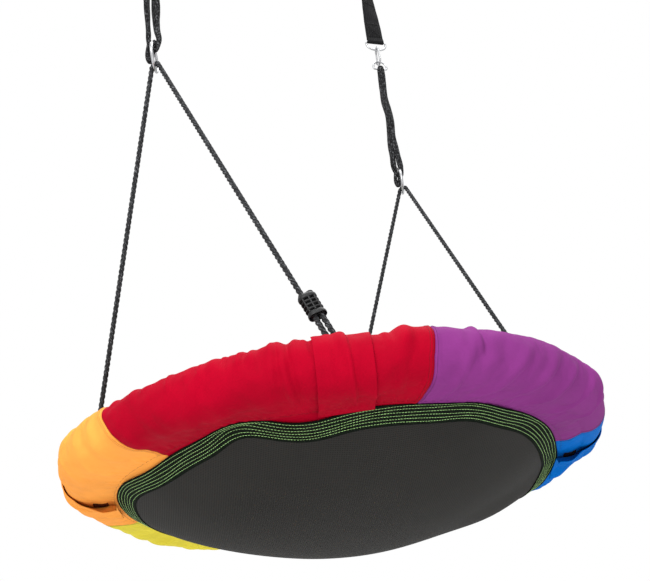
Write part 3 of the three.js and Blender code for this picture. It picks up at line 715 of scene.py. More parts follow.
def cover_section():
    angle = np.radians(np.linspace(-84, TOP_END, 300))
    arc = COVER_RADIUS * np.stack([np.cos(angle), np.sin(angle)], axis=1)
    run = np.linspace(0, 1, 60)[:, None]
    lower_lip = np.array([-LIP_REACH, -LIP_DEPTH])
    upper_lip = np.array([-LIP_REACH, UPPER_LIP_HEIGHT])
    lower_tuck = np.array([-TUCKED_REACH, -LIP_DEPTH - 0.0012])
    upper_tuck = np.array([-TUCKED_REACH, -LIP_DEPTH + 0.0008])
    lower = lower_lip * (1 - run) + arc[0] * run
    upper = arc[-1] * (1 - run) + upper_lip * run
    outline = np.vstack([lower_tuck, lower[:-1], arc, upper[1:], upper_tuck])
    length = along(outline)
    start, end = length[1], length[-2]
    return outline, (length - start) / (end - start), end - start


SECTION, SECTION_S, SECTION_LENGTH = cover_section()
TUCK_START, TUCK_END = SECTION_S[0], SECTION_S[-1]


def smooth_bump(value, low, high, edge):
    """1 between low and high, falling smoothly to 0 over the edge outside them."""
    rise = np.clip((value - low) / edge + 1, 0, 1)
    fall = np.clip((high - value) / edge + 1, 0, 1)
    return (rise * rise * (3 - 2 * rise)) * (fall * fall * (3 - 2 * fall))


def gap_between(theta, centre):
    """The signed way round from one angle to another, in degrees."""
    return (theta - centre + 180) % 360 - 180


def pleats(spacing, low, high, height, width, lean, seed, span=(0, 360)):
    """Folds at uneven places round the rim, as (angle, s of foot, s of head, height, width, lean)."""
    draw = random.Random(seed)
    angle, folds = span[0], []
    while angle < span[1]:
        folds.append((angle, draw.uniform(*low), draw.uniform(*high), draw.uniform(*height),
                      draw.uniform(*width), draw.uniform(*lean)))
        angle += draw.uniform(*spacing)
    return folds


FOLDS = [
    # short puckers over the outer top edge
    *pleats((3.0, 8.0), (0.40, 0.52), (0.60, 0.76), (0.0008, 0.0026), (0.5, 1.2), (-4, 4), 11,
            (150, 240)),
    *pleats((3.0, 8.0), (0.36, 0.44), (0.50, 0.58), (0.0005, 0.0014), (0.6, 1.4), (-4, 4), 12,
            (240, 330)),
    *pleats((3.0, 8.0), (0.40, 0.52), (0.60, 0.76), (0.0006, 0.0020), (0.5, 1.2), (-4, 4), 13,
            (330, 510)),
    # small sharp puckers along the red panel's outer edge
    *pleats((2.2, 3.6), (0.40, 0.44), (0.53, 0.60), (0.0014, 0.0026), (0.35, 0.6), (-6, 2), 17,
            (194, 219)),
    # long soft folds that fan out from the mat
    *pleats((7.0, 13.0), (0.03, 0.12), (0.40, 0.55), (0.0012, 0.0030), (1.2, 2.4), (8, 20), 23),
    # small gathers where the cover is sewn to the mat
    *pleats((1.6, 3.2), (0.00, 0.01), (0.05, 0.13), (0.0005, 0.0014), (0.35, 0.7), (-6, 6), 31),
    # folds down the inner side
    *pleats((4.0, 9.0), (0.66, 0.72), (0.93, 0.99), (0.0012, 0.0030), (0.7, 1.5), (-8, 8), 43),
    # the purple panel's diagonal folds
    (243.5, 0.05, 0.50, 0.0050, 1.3, 10), (248.5, 0.34, 0.62, 0.0048, 0.8, 2),
    (251.0, 0.04, 0.48, 0.0050, 1.5, 22), (258.5, 0.05, 0.46, 0.0052, 1.6, 24),
    (266.0, 0.04, 0.46, 0.0050, 1.4, 22), (276.5, 0.06, 0.46, 0.0050, 1.5, 18),
    (288.0, 0.10, 0.64, 0.0044, 1.6, 4),
    # upright folds beside the flap of rope b
    (211.5, 0.30, 0.66, 0.0040, 0.9, 2), (214.5, 0.12, 0.64, 0.0052, 0.8, -3),
    (233.5, 0.10, 0.64, 0.0045, 1.6, 3),
]
# slow swells of the loose cover: (angle, half span, outward, upward), degrees and metres
SWELLS = [(258, 26, 0.001, 0.006), (284, 20, 0.0, 0.004), (312, 18, -0.011, 0.001),
          (186, 14, 0.0, -0.002), (206, 9, 0.0, 0.001), (157, 14, 0.007, 0.003),
          (118, 12, -0.004, 0.004), (81, 19, 0.0, -0.015), (298, 15, 0.0, 0.011),
          (228, 8, -0.002, -0.006), (236, 4, 0.0, 0.006), (246, 5, 0.0, 0.003),
          (200, 28, -0.001, -0.002), (139, 12, -0.004, 0.004)]
CLOSEST = 0.0396  # the cover's outer face never comes nearer than this to the tube's middle


def fold_height(theta, s):
    """How far the folds lift the cover off the foam, at each angle and s."""
    height = np.zeros(np.broadcast(theta, s).shape)
    for angle, foot, head, lift, width, lean in FOLDS:
        off = gap_between(theta, angle + lean * (s - foot))
        near = np.abs(off) < 5 * width
        envelope = smooth_bump(s, foot + 0.25 * (head - foot), head - 0.25 * (head - foot),
                               0.35 * (head - foot))
        ridge = np.exp(-((off / width) ** 2)) - 0.55 * np.exp(-(((off - 1.5 * width) / (0.8 * width)) ** 2))
        height += np.where(near, lift * envelope * ridge, 0.0)
    return height


def noise_field(points, scale, seed):
    """Smooth noise between -1 and 1, from a few waves in random directions."""
    draw = np.random.default_rng(seed)
    value = np.zeros(points.shape[:-1])
    for _ in range(14):
        direction = draw.normal(size=3)
        direction *= draw.uniform(0.6, 1.5) / np.linalg.norm(direction) / scale
        value += np.sin(points @ direction * 2 * math.pi + draw.uniform(0, 2 * math.pi))
    return value / 3.7


def seam_dip(theta):
    """Panels are drawn in at their seams, between two raised hems."""
    nearest_seam = np.round(theta / PANEL_SPAN) * PANEL_SPAN
    off = np.abs(gap_between(theta, nearest_seam)) * RIM_DEGREE
    return 0.0010 * np.exp(-((off - 0.005) / 0.0028) ** 2) - 0.0016 * np.exp(-(off / 0.0016) ** 2)


# Where the cloth has slipped round the rim: (angle, half span, degrees round at each of SLIP_S)
SLIP_S = (0.0, 0.15, 0.35, 0.60)
SLIPS = [(180, 14, (-2.0, -0.2, -3.0, -8.5)), (240, 7, (0.0, -0.3, -0.5, 1.1)),
         (125, 14, (-2.0, -3.0, -3.5, -3.5))]


def slip(theta, s):
    """How many degrees further round the cloth lies at each angle and s."""
    return sum(np.exp(-((gap_between(theta, angle) / half) ** 2)) * np.interp(s, SLIP_S, degrees)
               for angle, half, degrees in SLIPS)


def cover_points(theta, s, lift=0.0):
    """Points of the cover's outer face, for arrays of angles in degrees and of s."""
    theta, s = np.broadcast_arrays(np.asarray(theta, float), np.asarray(s, float))
    turn = np.radians(theta + slip(theta, s))
    x = np.interp(s, SECTION_S, SECTION[:, 0])
    z = np.interp(s, SECTION_S, SECTION[:, 1])
    dx = np.interp(s + 0.004, SECTION_S, SECTION[:, 0]) - np.interp(s - 0.004, SECTION_S, SECTION[:, 0])
    dz = np.interp(s + 0.004, SECTION_S, SECTION[:, 1]) - np.interp(s - 0.004, SECTION_S, SECTION[:, 1])
    size = np.hypot(dx, dz)
    nx, nz = dz / size, -dx / size
    flat = np.stack([(RIM_RADIUS + x) * np.cos(turn), (RIM_RADIUS + x) * np.sin(turn), z], axis=-1)
    free = smooth_bump(s, 0.10, 0.90, 0.10)
    rise = fold_height(theta, s) + seam_dip(theta)
    rise += free * (0.0014 * noise_field(flat, 0.11, 5) + 0.0006 * noise_field(flat, 0.035, 6))
    x = x + nx * rise
    z = z + nz * rise
    for angle, half, outward, upward in SWELLS:
        near = np.exp(-((gap_between(theta, angle) / half) ** 2)) * smooth_bump(s, 0.30, 0.75, 0.25)
        x = x + outward * near
        z = z + upward * near
    away = np.maximum(CLOSEST / np.hypot(x, z), 1.0)
    x = x * away + nx * lift
    z = z * away + nz * lift + edge_lift(theta) * (1 - smooth_bump(s, 0.22, 0.78, 0.20))
    radius = RIM_RADIUS + x
    tucked = np.clip(s / TUCK_START, 0, 1) + np.clip((s - 1) / (TUCK_END - 1), 0, 1)
    on_mat = mat_points(theta, radius)[..., 2] - level(0) + np.where(s < 0.5, 0.0006, 0.0026)
    z = z * (1 - tucked) + on_mat * tucked
    return np.stack([radius * np.cos(turn), radius * np.sin(turn), z + level(0)], axis=-1)


# The band's edge waves in and out between the stitches that hold it. A few places are drawn
# further, beside and under the flap of rope b for one: (angle, half span, metres out).
EDGE_PULLS = [(171, 12, -0.006), (199, 7, 0.012), (215, 10, -0.014), (256, 8, 0.006), (314, 8, 0.007)]


def edge_wave(theta):
    """How far out the band's edge is drawn, in metres."""
    wave = -0.003 * np.cos(np.radians(6 * np.asarray(theta, float)))
    for angle, half, outward in EDGE_PULLS:
        wave = wave + outward * np.exp(-((gap_between(theta, angle) / half) ** 2))
    return wave


def edge_lift(theta):
    """How far up the band's edge is drawn. It hangs low where the mat is heaviest."""
    return 0.3 * edge_wave(theta) - 0.027 * np.exp(-((gap_between(theta, 331) / 14) ** 2))


def cloth_piece(name, points, uv, finish, thickness=0.0012, dropped=None):
    """A cloth shell over a grid of points of its outer face, with real thickness."""
    rows, columns = points.shape[:2]
    faces = grid_faces(rows, columns)
    if dropped is not None:
        faces = faces[~dropped]
    piece = make_piece(name, points, faces, finish, uv)
    edit = bmesh.new()
    edit.from_mesh(piece.data)
    loose = [v for v in edit.verts if not v.link_faces]
    bmesh.ops.delete(edit, geom=loose, context="VERTS")
    edit.to_mesh(piece.data)
    edit.free()
    return thickened(piece, thickness, 1.0)


def cloth_uv(theta, s):
    return np.stack([np.radians(theta) * RIM_RADIUS, s * SECTION_LENGTH], axis=-1)


def sewn(path, period=0.0045, radius=0.00042):
    """(points, faces) of a thread along a path of points and lifts that dips in at each stitch."""
    length = along(path)
    even = np.linspace(0, length[-1], max(8, int(length[-1] / period * 5)))
    fine = np.stack([np.interp(even, length, path[:, k]) for k in range(3)], axis=1)
    return tube(fine, radius * (1 - 0.6 * np.exp(-((np.mod(even / period, 1) * 8) ** 2))), 5)


def stitch_line(theta, s, lift):
    """(points, faces) of a row of stitches on the cover."""
    return sewn(cover_points(theta, s, lift))


PANEL_NAMES = ["green", "yellow", "orange", "red", "purple", "blue"]
WINDOW = {"back": -0.009, "front": 0.034, "low": 0.545, "high": 0.745}


def window_span(hold):
    """The angles of a rope's window, from low to high."""
    way = math.copysign(1, hold.inward.dot(Vector((-hold.radial.y, hold.radial.x, 0))))
    ends = sorted(hold.angle + way * WINDOW[end] / RIM_DEGREE for end in ("back", "front"))
    return ends[0], ends[1], way


def in_window(theta, s):
    """Which cells of a grid are inside a rope's window."""
    theta = ((theta[1:, 1:] + theta[:-1, :-1]) / 2).reshape(-1)
    s = ((s[1:, 1:] + s[:-1, :-1]) / 2).reshape(-1)
    inside = np.zeros(theta.shape, bool)
    for hold in HOLDS.values():
        low, high, _ = window_span(hold)
        inside |= (theta > low) & (theta < high) & (s > WINDOW["low"]) & (s < WINDOW["high"])
    return inside


def window_binding(hold):
    """A thick overlocked edge round a rope's window."""
    low, high, _ = window_span(hold)
    foot, head = WINDOW["low"], WINDOW["high"]
    corners = np.array([(low, foot), (high, foot), (high, head), (low, head), (low, foot)])
    share = np.linspace(0, 1, 20, endpoint=False)[:, None]
    theta, s = np.vstack([a + (b - a) * share for a, b in zip(corners, corners[1:])]).T
    path = smooth_path(cover_points(theta, s, 0.0004), 0.003, closed=True)
    return tube(path, 0.0016, 8, closed=True)


def make_cover():
    for i, colour in enumerate(PANEL_NAMES):
        start = PANEL_SPAN * i
        theta, s = np.meshgrid(np.linspace(start + 0.02, start + PANEL_SPAN - 0.02, 221),
                               np.linspace(TUCK_START, TUCK_END, 131), indexing="ij")
        panel = cloth_piece(f"cover_{colour}", cover_points(theta, s), cloth_uv(theta, s),
                            COVERS[colour], dropped=in_window(theta, s))
        assign(panel, f"cover_{colour}", "seat", f"cover_panel_{colour}")
        inside = [hold for hold in HOLDS.values() if start < hold.angle < start + PANEL_SPAN]
        threads = []
        lines = np.linspace(0.012, 0.985, 60)
        for edge in (start + 0.45, start + PANEL_SPAN - 0.45, start + PANEL_SPAN - 0.95):
            threads.append(stitch_line(np.full(60, edge), lines, 0.0013))
        round_panel = np.linspace(start + 0.2, start + PANEL_SPAN - 0.2, 90)
        threads.append(stitch_line(round_panel, np.full(90, 0.022), 0.0012))
        threads.append(stitch_line(round_panel, np.full(90, 0.975), 0.0012))
        for hold in inside:
            threads.append(window_binding(hold))
        sewing = make_piece(f"cover_sewing_{colour}", *merged(threads), COVER_THREADS[colour])
        assign(sewing, f"cover_{colour}", "seat")


FLAP_COLOURS = {"a": "orange", "b": "red", "c": "blue", "d": "green"}
FLAP_TOP = 0.592
FLAP_HALF_WIDTH = 0.0430
TAPE_HALF_SPAN = 4.68
FLAP_FEET = {"a": 0.012, "b": -0.012, "c": 0.012, "d": 0.012}


def flap_theta(middle, across, s):
    """The angles of points across a flap, which is as wide at its foot as at its top."""
    reach = RIM_RADIUS + np.interp(s, SECTION_S, SECTION[:, 0])
    return middle + across * np.degrees(FLAP_HALF_WIDTH / reach)


def flap_lift(letter, across, s):
    """A flap lies over the cover; its edges stand off a little, most at the foot of a and c."""
    loose = {"a": 0.0160, "b": 0.0010, "c": 0.0150, "d": 0.0030}[letter]
    edge = smooth_bump(np.abs(across), 0.92, 1.2, 0.45)
    foot = 1 - smooth_bump(s, 0.28, 1.0, 0.22)
    off = across - 0.10 - 0.45 * (0.55 - s)  # from the crest of the fold below the notch
    fold = np.exp(-((off / np.where(off < 0, 0.20, 0.05)) ** 2)) * smooth_bump(s, 0.16, 0.60, 0.14)
    second = np.exp(-(((across + 0.5) / 0.13) ** 2)) * smooth_bump(s, 0.3, 0.6, 0.2)
    gathers = 0.0045 * fold + 0.0016 * second
    side = np.where(across > 0, 1.0, 0.25) if letter in "ad" else np.where(across < 0, 1.0, 0.4)
    return 0.0030 + 0.0012 * edge + loose * edge * foot * side + gathers


def flap_points(letter, theta, across, s, extra=0.0):
    """Points of a flap's outer face. Its foot lies over the mat's band."""
    points = cover_points(theta, s, flap_lift(letter, across, s) + extra)
    radius = np.hypot(points[..., 0], points[..., 1])
    under_band = band_points(theta, radius, 0.0032 + extra)[..., 2]
    share = smooth_bump(radius, 0.0, 0.404, 0.012)
    points[..., 2] = np.where(s < 0.25, np.minimum(points[..., 2], under_band * share
                                                   + points[..., 2] * (1 - share)), points[..., 2])
    return points


def make_flap(letter, hold):
    colour = FLAP_COLOURS[letter]
    _, _, way = window_span(hold)
    middle = hold.angle + way
    across, run = np.meshgrid(np.linspace(-1, 1, 61), np.linspace(0, 1, 141), indexing="ij")
    notch = 0.030 * np.clip(1 - np.abs(across - 0.12) / 0.22, 0, 1)
    crown = 0.012 * (1 - across**2) * np.where(across * way < 0, 1.3, 0.6)
    foot = FLAP_FEET[letter]
    s = foot + (FLAP_TOP + crown - notch - foot) * run
    theta = flap_theta(middle, across, s)
    flap = cloth_piece(f"flap_{letter}", flap_points(letter, theta, across, s), cloth_uv(theta, s),
                       COVERS[colour], thickness=0.0016)
    assign(flap, f"cover_{colour}", "seat", f"rope_flap_{letter}")

    threads = []
    row_s = np.linspace(foot + 0.006, FLAP_TOP - 0.01, 140)
    for place in (-0.955, -0.80, 0.80, 0.955):
        row = np.full(140, place)
        threads.append(sewn(flap_points(letter, flap_theta(middle, row, row_s), row, row_s, 0.0003)))
    for edge_s in (foot + 0.006, foot + 0.026):
        row = np.linspace(-0.95, 0.95, 80)
        edge = flap_points(letter, flap_theta(middle, row, edge_s), row, np.full(80, edge_s), 0.0003)
        threads.append(sewn(edge))
    sewing = make_piece(f"flap_sewing_{letter}", *merged(threads), COVER_THREADS[colour])
    assign(sewing, f"cover_{colour}", "seat")

    # The tape shows in the gap under the flap; its material's dark colour is painted shade of that gap.
    theta, s = np.meshgrid(np.linspace(middle - TAPE_HALF_SPAN, middle + TAPE_HALF_SPAN, 40),
                           np.linspace(0.06, 0.15, 14), indexing="ij")
    tape = cloth_piece(f"hook_tape_{letter}", cover_points(theta, s, 0.0012), cloth_uv(theta, s),
                       HOOK_TAPES[letter], thickness=0.0012)
    assign(tape, "hook_tape", "seat", f"flap_tape_{letter}")


def make_foam():
    """Each sleeve is a split tube of foam round the frame, with a slight waist at its ends."""
    relief = FOAM_RELIEF / RIM_DEGREE
    for i in range(4):
        theta = np.radians(np.linspace(45 + 90 * i + relief, 135 + 90 * i - relief, 72))
        path = np.stack([RIM_RADIUS * np.cos(theta), RIM_RADIUS * np.sin(theta),
                         np.full(72, level(0))], axis=1)
        ends = np.minimum(np.arange(72), np.arange(72)[::-1]) / 3.0
        outer = (FOAM_RADIUS - 0.0006) - 0.002 * np.exp(-ends)
        outside = tube(path, outer, 40)
        inside = tube(path, FOAM_BORE, 40)
        faces = [f for f in outside[1] if len(f) == 4]
        points, quads = merged([(outside[0], faces), (inside[0], [tuple(reversed(f)) for f in faces])])
        bore = len(outside[0])
        for row in (0, bore - 40):
            quads += [(row + k, row + (k + 1) % 40, bore + row + (k + 1) % 40, bore + row + k)
                      for k in range(40)]
        sleeve = face_outward(make_piece(f"foam_{i + 1}", points, quads, FOAM))
        assign(sleeve, "foam", "seat", f"foam_sleeve_{i + 1}")


# ---------------------------------------------------------------- mat

# Places where the hanging mat is deeper or shallower: (angle, radius, half span, depth in metres)
MAT_BULGES = [(340, 0.34, 0.09, 0.018), (90, 0.30, 0.14, -0.010),
              (20, 0.24, 0.10, 0.003), (200, 0.20, 0.12, -0.002)]


def mat_points(theta, radius, drop=0.0):
    """Points of the mat's upper face; drop is the way down through it."""
    theta, radius = np.broadcast_arrays(np.asarray(theta, float), np.asarray(radius, float))
    share = radius / MAT_RADIUS
    depth = MAT_EDGE_DEPTH + MAT_SAG * (1 - share**MAT_SAG_POWER)
    depth = np.maximum(depth, MAT_EDGE_DEPTH - 0.0005)
    turn = np.radians(theta)
    x, y = radius * np.cos(turn), radius * np.sin(turn)
    for angle, far, half, deeper in MAT_BULGES:
        a = math.radians(angle)
        near = np.exp(-((x - far * math.cos(a)) ** 2 + (y - far * math.sin(a)) ** 2) / half**2)
        depth = depth + deeper * near * (1 - share**4)
    ripple = 0.0022 * np.sin(np.radians(theta * 7 + 40)) + 0.0016 * np.sin(np.radians(theta * 11 + 100))
    depth = depth + ripple * np.clip(share, 0, 1) ** 5
    lift = edge_lift(theta) * np.clip((share - 0.45) / 0.55, 0, 1) ** 2
    return np.stack([x, y, level(0) - depth + lift - drop], axis=-1)


def band_points(theta, radius, drop=0.0):
    """Points of the band's upper face: it lies under the mat's edge and laps under the cover."""
    points = mat_points(theta, radius, 0.0034)
    lapped = level(0) - LIP_DEPTH - 0.0026 + edge_lift(theta)
    soft = 0.0012
    height = points[..., 2]
    share = 1 / (1 + np.exp(np.clip((height - lapped) / soft, -40, 40)))
    points[..., 2] = height * share + lapped * (1 - share) - drop
    return points


def disc(theta_count, shares, drop):
    """(points, faces, uv) of rings of points about a middle point, out to the band's edge."""
    theta = np.linspace(0, 360, theta_count, endpoint=False)
    radii = np.asarray(shares)[:, None] * (band_radius(theta, 1.0) - 0.001)[None, :]
    rings = mat_points(theta[None, :], radii, drop)
    points = np.vstack([rings.reshape(-1, 3), mat_points(0.0, 0.0, drop)[None]])
    faces = [tuple(f) for f in grid_faces(len(shares), theta_count, False, True)]
    middle = len(points) - 1
    faces += [(middle, k, (k + 1) % theta_count) for k in range(theta_count)]
    return points, faces, points[:, :2].copy()


BORDER_ROWS = 6
BORDER_STITCH = 0.0050


def band_radius(theta, width):
    """The radius at a share of the band's width, from its inner edge to its outer edge."""
    return MAT_RADIUS + edge_wave(theta) - BORDER_WIDTH * (1 - width)


def border_row(k):
    """(points, faces) of one green row round the band, with a wandering line of its own."""
    around = int(2 * math.pi * MAT_RADIUS / BORDER_STITCH)
    theta = np.linspace(0, 360, around * 5, endpoint=False)
    wander = 0.016 * np.sin(np.radians(theta * 9 + 50 * k)) + 0.010 * np.sin(np.radians(theta * 23 + 80 * k))
    radius = band_radius(theta, 0.93 - 0.155 * k + wander)
    dip = 0.0004 * np.abs(np.sin(np.radians(theta) * around / 2)) + 0.0001
    path = band_points(theta, radius)
    path[:, 2] -= dip
    return tube(path, 0.00048, 5, closed=True)


def make_mat():
    points, faces, uv = disc(216, np.linspace(0.03, 1.0, 60), 0.0004)
    mat = make_piece("mat", points, [tuple(reversed(f)) for f in faces], MESH, uv)
    face_outward(mat)
    thickened(mat, 0.0018, 1.0 if mat.data.polygons[0].normal.z < 0 else -1.0)
    assign(mat, "mesh_fabric", "seat", "seat_mat")

    theta, width = np.meshgrid(np.linspace(0, 360, 540, endpoint=False), np.linspace(0, 1, 22),
                               indexing="ij")
    grid = band_points(theta, band_radius(theta, width))
    uv = np.stack([np.radians(theta) * MAT_RADIUS, width * BORDER_WIDTH], axis=-1)
    border = make_piece("border", grid, grid_faces(540, 22, True, False), BORDER, uv)
    thickened(face_outward(border), 0.0012, 0.0)
    assign(border, "border_tape", "seat", "mat_border")

    rows = [border_row(k) for k in range(BORDER_ROWS)]
    sewing = make_piece("border_sewing", *merged(rows), GREEN_THREAD)
    assign(sewing, "border_tape", "seat")

    theta = np.linspace(0, 360, 1080, endpoint=False)
    outer = tube(band_points(theta, band_radius(theta, 1.0)), 0.0012, 8, closed=True)
    inner = tube(band_points(theta, band_radius(theta, 0.0)), 0.0009, 6, closed=True)
    binding = make_piece("border_binding", *merged([outer, inner]), BORDER)
    assign(binding, "border_tape", "seat")


make_mat()
make_cover()
for letter, hold in HOLDS.items():
    make_flap(letter, hold)
make_foam()
for i in range(4):
    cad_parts[f"frame_tube_{i + 1}"].data.materials[0] = TUBE_STEEL
    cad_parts[f"tube_screw_{i + 1}"].data.materials[0] = ZINC

# ---------------------------------------------------------------- hanging hardware


def upright(points, turn, x, height):
    """Puts points (across, up, out) of an upright plane in place. turn is the plane's way round."""
    points = np.asarray(points, float)
    if points.shape[-1] == 2:
        points = np.concatenate([points, np.zeros((*points.shape[:-1], 1))], axis=-1)
    c, s = math.cos(math.radians(turn)), math.sin(math.radians(turn))
    across, up, out = points[..., 0], points[..., 1], points[..., 2]
    return np.stack([x + across * c + out * s, across * s - out * c, up + level(height)], axis=-1)


def bezier(controls, count):
    t = np.linspace(0, 1, count, endpoint=False)[:, None]
    rows = [np.asarray(p, float) for p in controls]
    while len(rows) > 1:
        rows = [a * (1 - t) + b * t for a, b in zip(rows, rows[1:])]
    return rows[0]


def arc(centre, radius, start, end, count):
    """Points of an arc in a plane, from one angle to another, both included."""
    turn = np.radians(np.linspace(start, end, count))
    return np.stack([centre[0] + radius * np.cos(turn), centre[1] + radius * np.sin(turn)], axis=1)


def finished(name, parts, finish, slot_name, body, *nodes):
    """A piece made of (points, faces) parts, on its body, that replaces CAD nodes. slot_name is not used."""
    return assign(face_outward(make_piece(name, *merged(parts), finish)), slot_name, body, *nodes)


def welded_radius(path, place, radius):
    """A wire's radius along a closed path, with a weld's small bulge at one place on it."""
    away = np.linalg.norm(path - path[int(place * len(path))], axis=1)
    return radius * (1 + 0.14 * np.exp(-((away / 0.0016) ** 2)))


def make_o_ring(side, x):
    path = upright(arc((0, 0), O_RING_RADIUS, 0, 360, 97)[:-1], O_RING_TURN, x, RING_HEIGHT)
    wire = tube(path, welded_radius(path, 0.12, O_RING_WIRE), 20, closed=True)
    finished(f"hanging_ring_{side}", [wire], ZINC, "zinc_steel", "rings", f"o_ring_{side}")


def make_d_ring(name, node, body, x, bar_height, bow_height, half_width):
    """A welded D-ring: a straight bar, two tight corners and a bow, all in one upright plane."""
    depth = bow_height - bar_height
    c = math.copysign(D_RING_CORNER, depth)
    h = half_width
    bar = h - D_RING_CORNER
    outline = np.vstack([
        np.stack([np.linspace(-bar, bar, 30, endpoint=False), np.zeros(30)], axis=1),
        bezier([(bar, 0), (h, 0), (h, c)], 8),
        bezier([(h, c), (h, 0.8 * depth), (0.55 * h, depth), (0, depth)], 26),
        bezier([(0, depth), (-0.55 * h, depth), (-h, 0.8 * depth), (-h, c)], 26),
        bezier([(-h, c), (-h, 0), (-bar, 0)], 8),
    ])
    path = smooth_path(upright(outline, D_RING_TURN, x, bar_height), 0.0016, closed=True)
    a = math.radians(D_RING_TURN)
    wire = tube(path, welded_radius(path, 0.15, D_RING_WIRE), 18, closed=True,
                first=(math.sin(a), -math.cos(a), 0))
    finished(name, [wire], ZINC, "zinc_steel", body, node)


def plate(width, height, thickness, centre, corner):
    """(points, faces) of a flat plate with round corners, in (across, up, out)."""
    outline = np.array(rounded_section(width / 2, height / 2, corner, 4)) + centre[:2]
    count = len(outline)
    levels = [(-0.5, 0.88), (-0.42, 1.0), (0.42, 1.0), (0.5, 0.88)]
    middle = np.asarray(centre[:2], float)
    points = [(*(middle + (p - middle) * grow), centre[2] + thickness * out)
              for out, grow in levels for p in outline]
    faces = [tuple(f) for f in grid_faces(4, count, False, True)]
    faces += [tuple(range(count))[::-1], tuple(range(3 * count, 4 * count))]
    return np.array(points), faces


def rod(path, radii, sides=14):
    """(points, faces) of a turned rod: a radius at each point of a straight path."""
    return tube(np.asarray(path, float), np.asarray(radii, float), sides, first=(0.3, 0.9, 0.2))


CARABINER_TOP = STRAP_BOW_HEIGHT + WIRE_HANG
CARABINER_FOOT = SLING_ARCH_HEIGHT - WIRE_HANG
CARABINER_HALF = (CARABINER_TOP - CARABINER_FOOT) / 2
CARABINER_MIDDLE = (CARABINER_TOP + CARABINER_FOOT) / 2
GATE_PIVOT = np.array([CARABINER_FOOT_BEND, -0.0115])
GATE_TIP = np.array([CARABINER_TOP_BEND + 0.0002, 0.014])


def make_carabiner(side, x):
    def put(part):
        return upright(part[0], CARABINER_TURN, x, CARABINER_MIDDLE), part[1]

    foot_middle = (0, -CARABINER_HALF + CARABINER_FOOT_BEND)
    top_middle = (0, CARABINER_HALF - CARABINER_TOP_BEND)
    clear = GATE_RADIUS + 0.0004
    outline = np.vstack([
        [(GATE_PIVOT[0], GATE_PIVOT[1] - clear)],
        arc(foot_middle, CARABINER_FOOT_BEND, -12, -180, 30),
        arc(top_middle, CARABINER_TOP_BEND, 180, 0, 30),
        [(GATE_TIP[0], GATE_TIP[1] + 0.0004)],
    ])
    flat = np.concatenate([outline, np.zeros((len(outline), 1))], axis=1)
    knuckle = (GATE_PIVOT[0] - 0.0002, GATE_PIVOT[1] - clear - 0.002, 0)
    body = [tube(smooth_path(flat, 0.0011), CARABINER_WIRE, 16, first=(0, 0, 1)),
            plate(0.006, 0.0042, 2 * clear + 0.0024, knuckle, 0.0012)]
    for out in (-1, 1):
        ear = (GATE_PIVOT[0], GATE_PIVOT[1] - 0.0016, out * (clear + 0.0006))
        body.append(plate(0.0052, 0.0084, 0.0012, ear, 0.0022))
    finished(f"clip_{side}", [put(part) for part in body], ZINC, "zinc_steel", "links",
             f"carabiner_{side}")

    lean = (GATE_TIP - GATE_PIVOT) / np.linalg.norm(GATE_TIP - GATE_PIVOT)
    length = np.linalg.norm(GATE_TIP - GATE_PIVOT)
    steps = np.array([-1.0, -0.86, -0.5, 0.0, 1.0]) * GATE_RADIUS
    run = np.concatenate([steps, np.linspace(0.004, length - 0.0018, 8), [length - 0.0006, length]])
    radii = GATE_RADIUS * np.concatenate([[0.12, 0.5, 0.86, 1, 1], np.ones(8), [0.93, 0.8]])
    path = [(*(GATE_PIVOT + lean * t), 0) for t in run]
    gate = [put(rod(path, radii))]
    finished(f"clip_gate_{side}", gate, ZINC, "zinc_steel", f"gate_{side}", f"carabiner_gate_{side}")

    half = clear + 0.0013
    outs = [-half, -half + 0.0004, -half + 0.0005, half - 0.0005, half - 0.0004, half]
    radii = [0.0010, 0.0014, 0.0009, 0.0009, 0.0014, 0.0010]
    pin = rod([(*GATE_PIVOT, out) for out in outs], radii, 12)
    finished(f"clip_pin_{side}", [put(pin)], ZINC, "zinc_steel", "links", f"gate_pin_{side}")


def strap_line(half):
    """The middle line of a strap's webbing, in (y, z): round the crossbar and the ring's bar."""
    foot = STRAP_BAR_HEIGHT - CROSSBAR_HEIGHT
    bar = D_RING_WIRE + half + 0.0003
    flank = -STRAP_FLAT_TOP
    line = np.vstack([
        arc((0, 0), EYE_RADIUS + half, -30, 210, 60),
        bezier([(-0.0262, -0.0178), (-0.0215, -0.0260), (-half, -0.0590), (-half, -flank)], 14)[1:],
        np.stack([np.full(60, -half), np.linspace(-flank, foot + STRAP_FLAT_FOOT, 60)], axis=1),
        arc((0, foot), bar, 150, 390, 16),
        np.stack([np.full(60, half), np.linspace(foot + STRAP_FLAT_FOOT, -flank, 60)], axis=1),
        bezier([(half, -flank), (half, -0.0590), (0.0215, -0.0260), (0.0262, -0.0178)], 14)[1:],
    ])
    return line


def twisted(points, x):
    """Strap points drawn about x = 0, turned with the strap's twist and moved to x."""
    points = np.asarray(points, float)
    foot = level(STRAP_BAR_HEIGHT) + STRAP_FLAT_FOOT
    rise = np.clip((points[..., 2] - foot) / (STRAP_FLAT_TOP - foot), 0, 1)
    turn = math.radians(D_RING_TURN) * (1 - rise * rise * (3 - 2 * rise))
    across, out = points[..., 0], points[..., 1]
    return np.stack([x + across * np.cos(turn) - out * np.sin(turn),
                     across * np.sin(turn) + out * np.cos(turn), points[..., 2]], axis=-1)


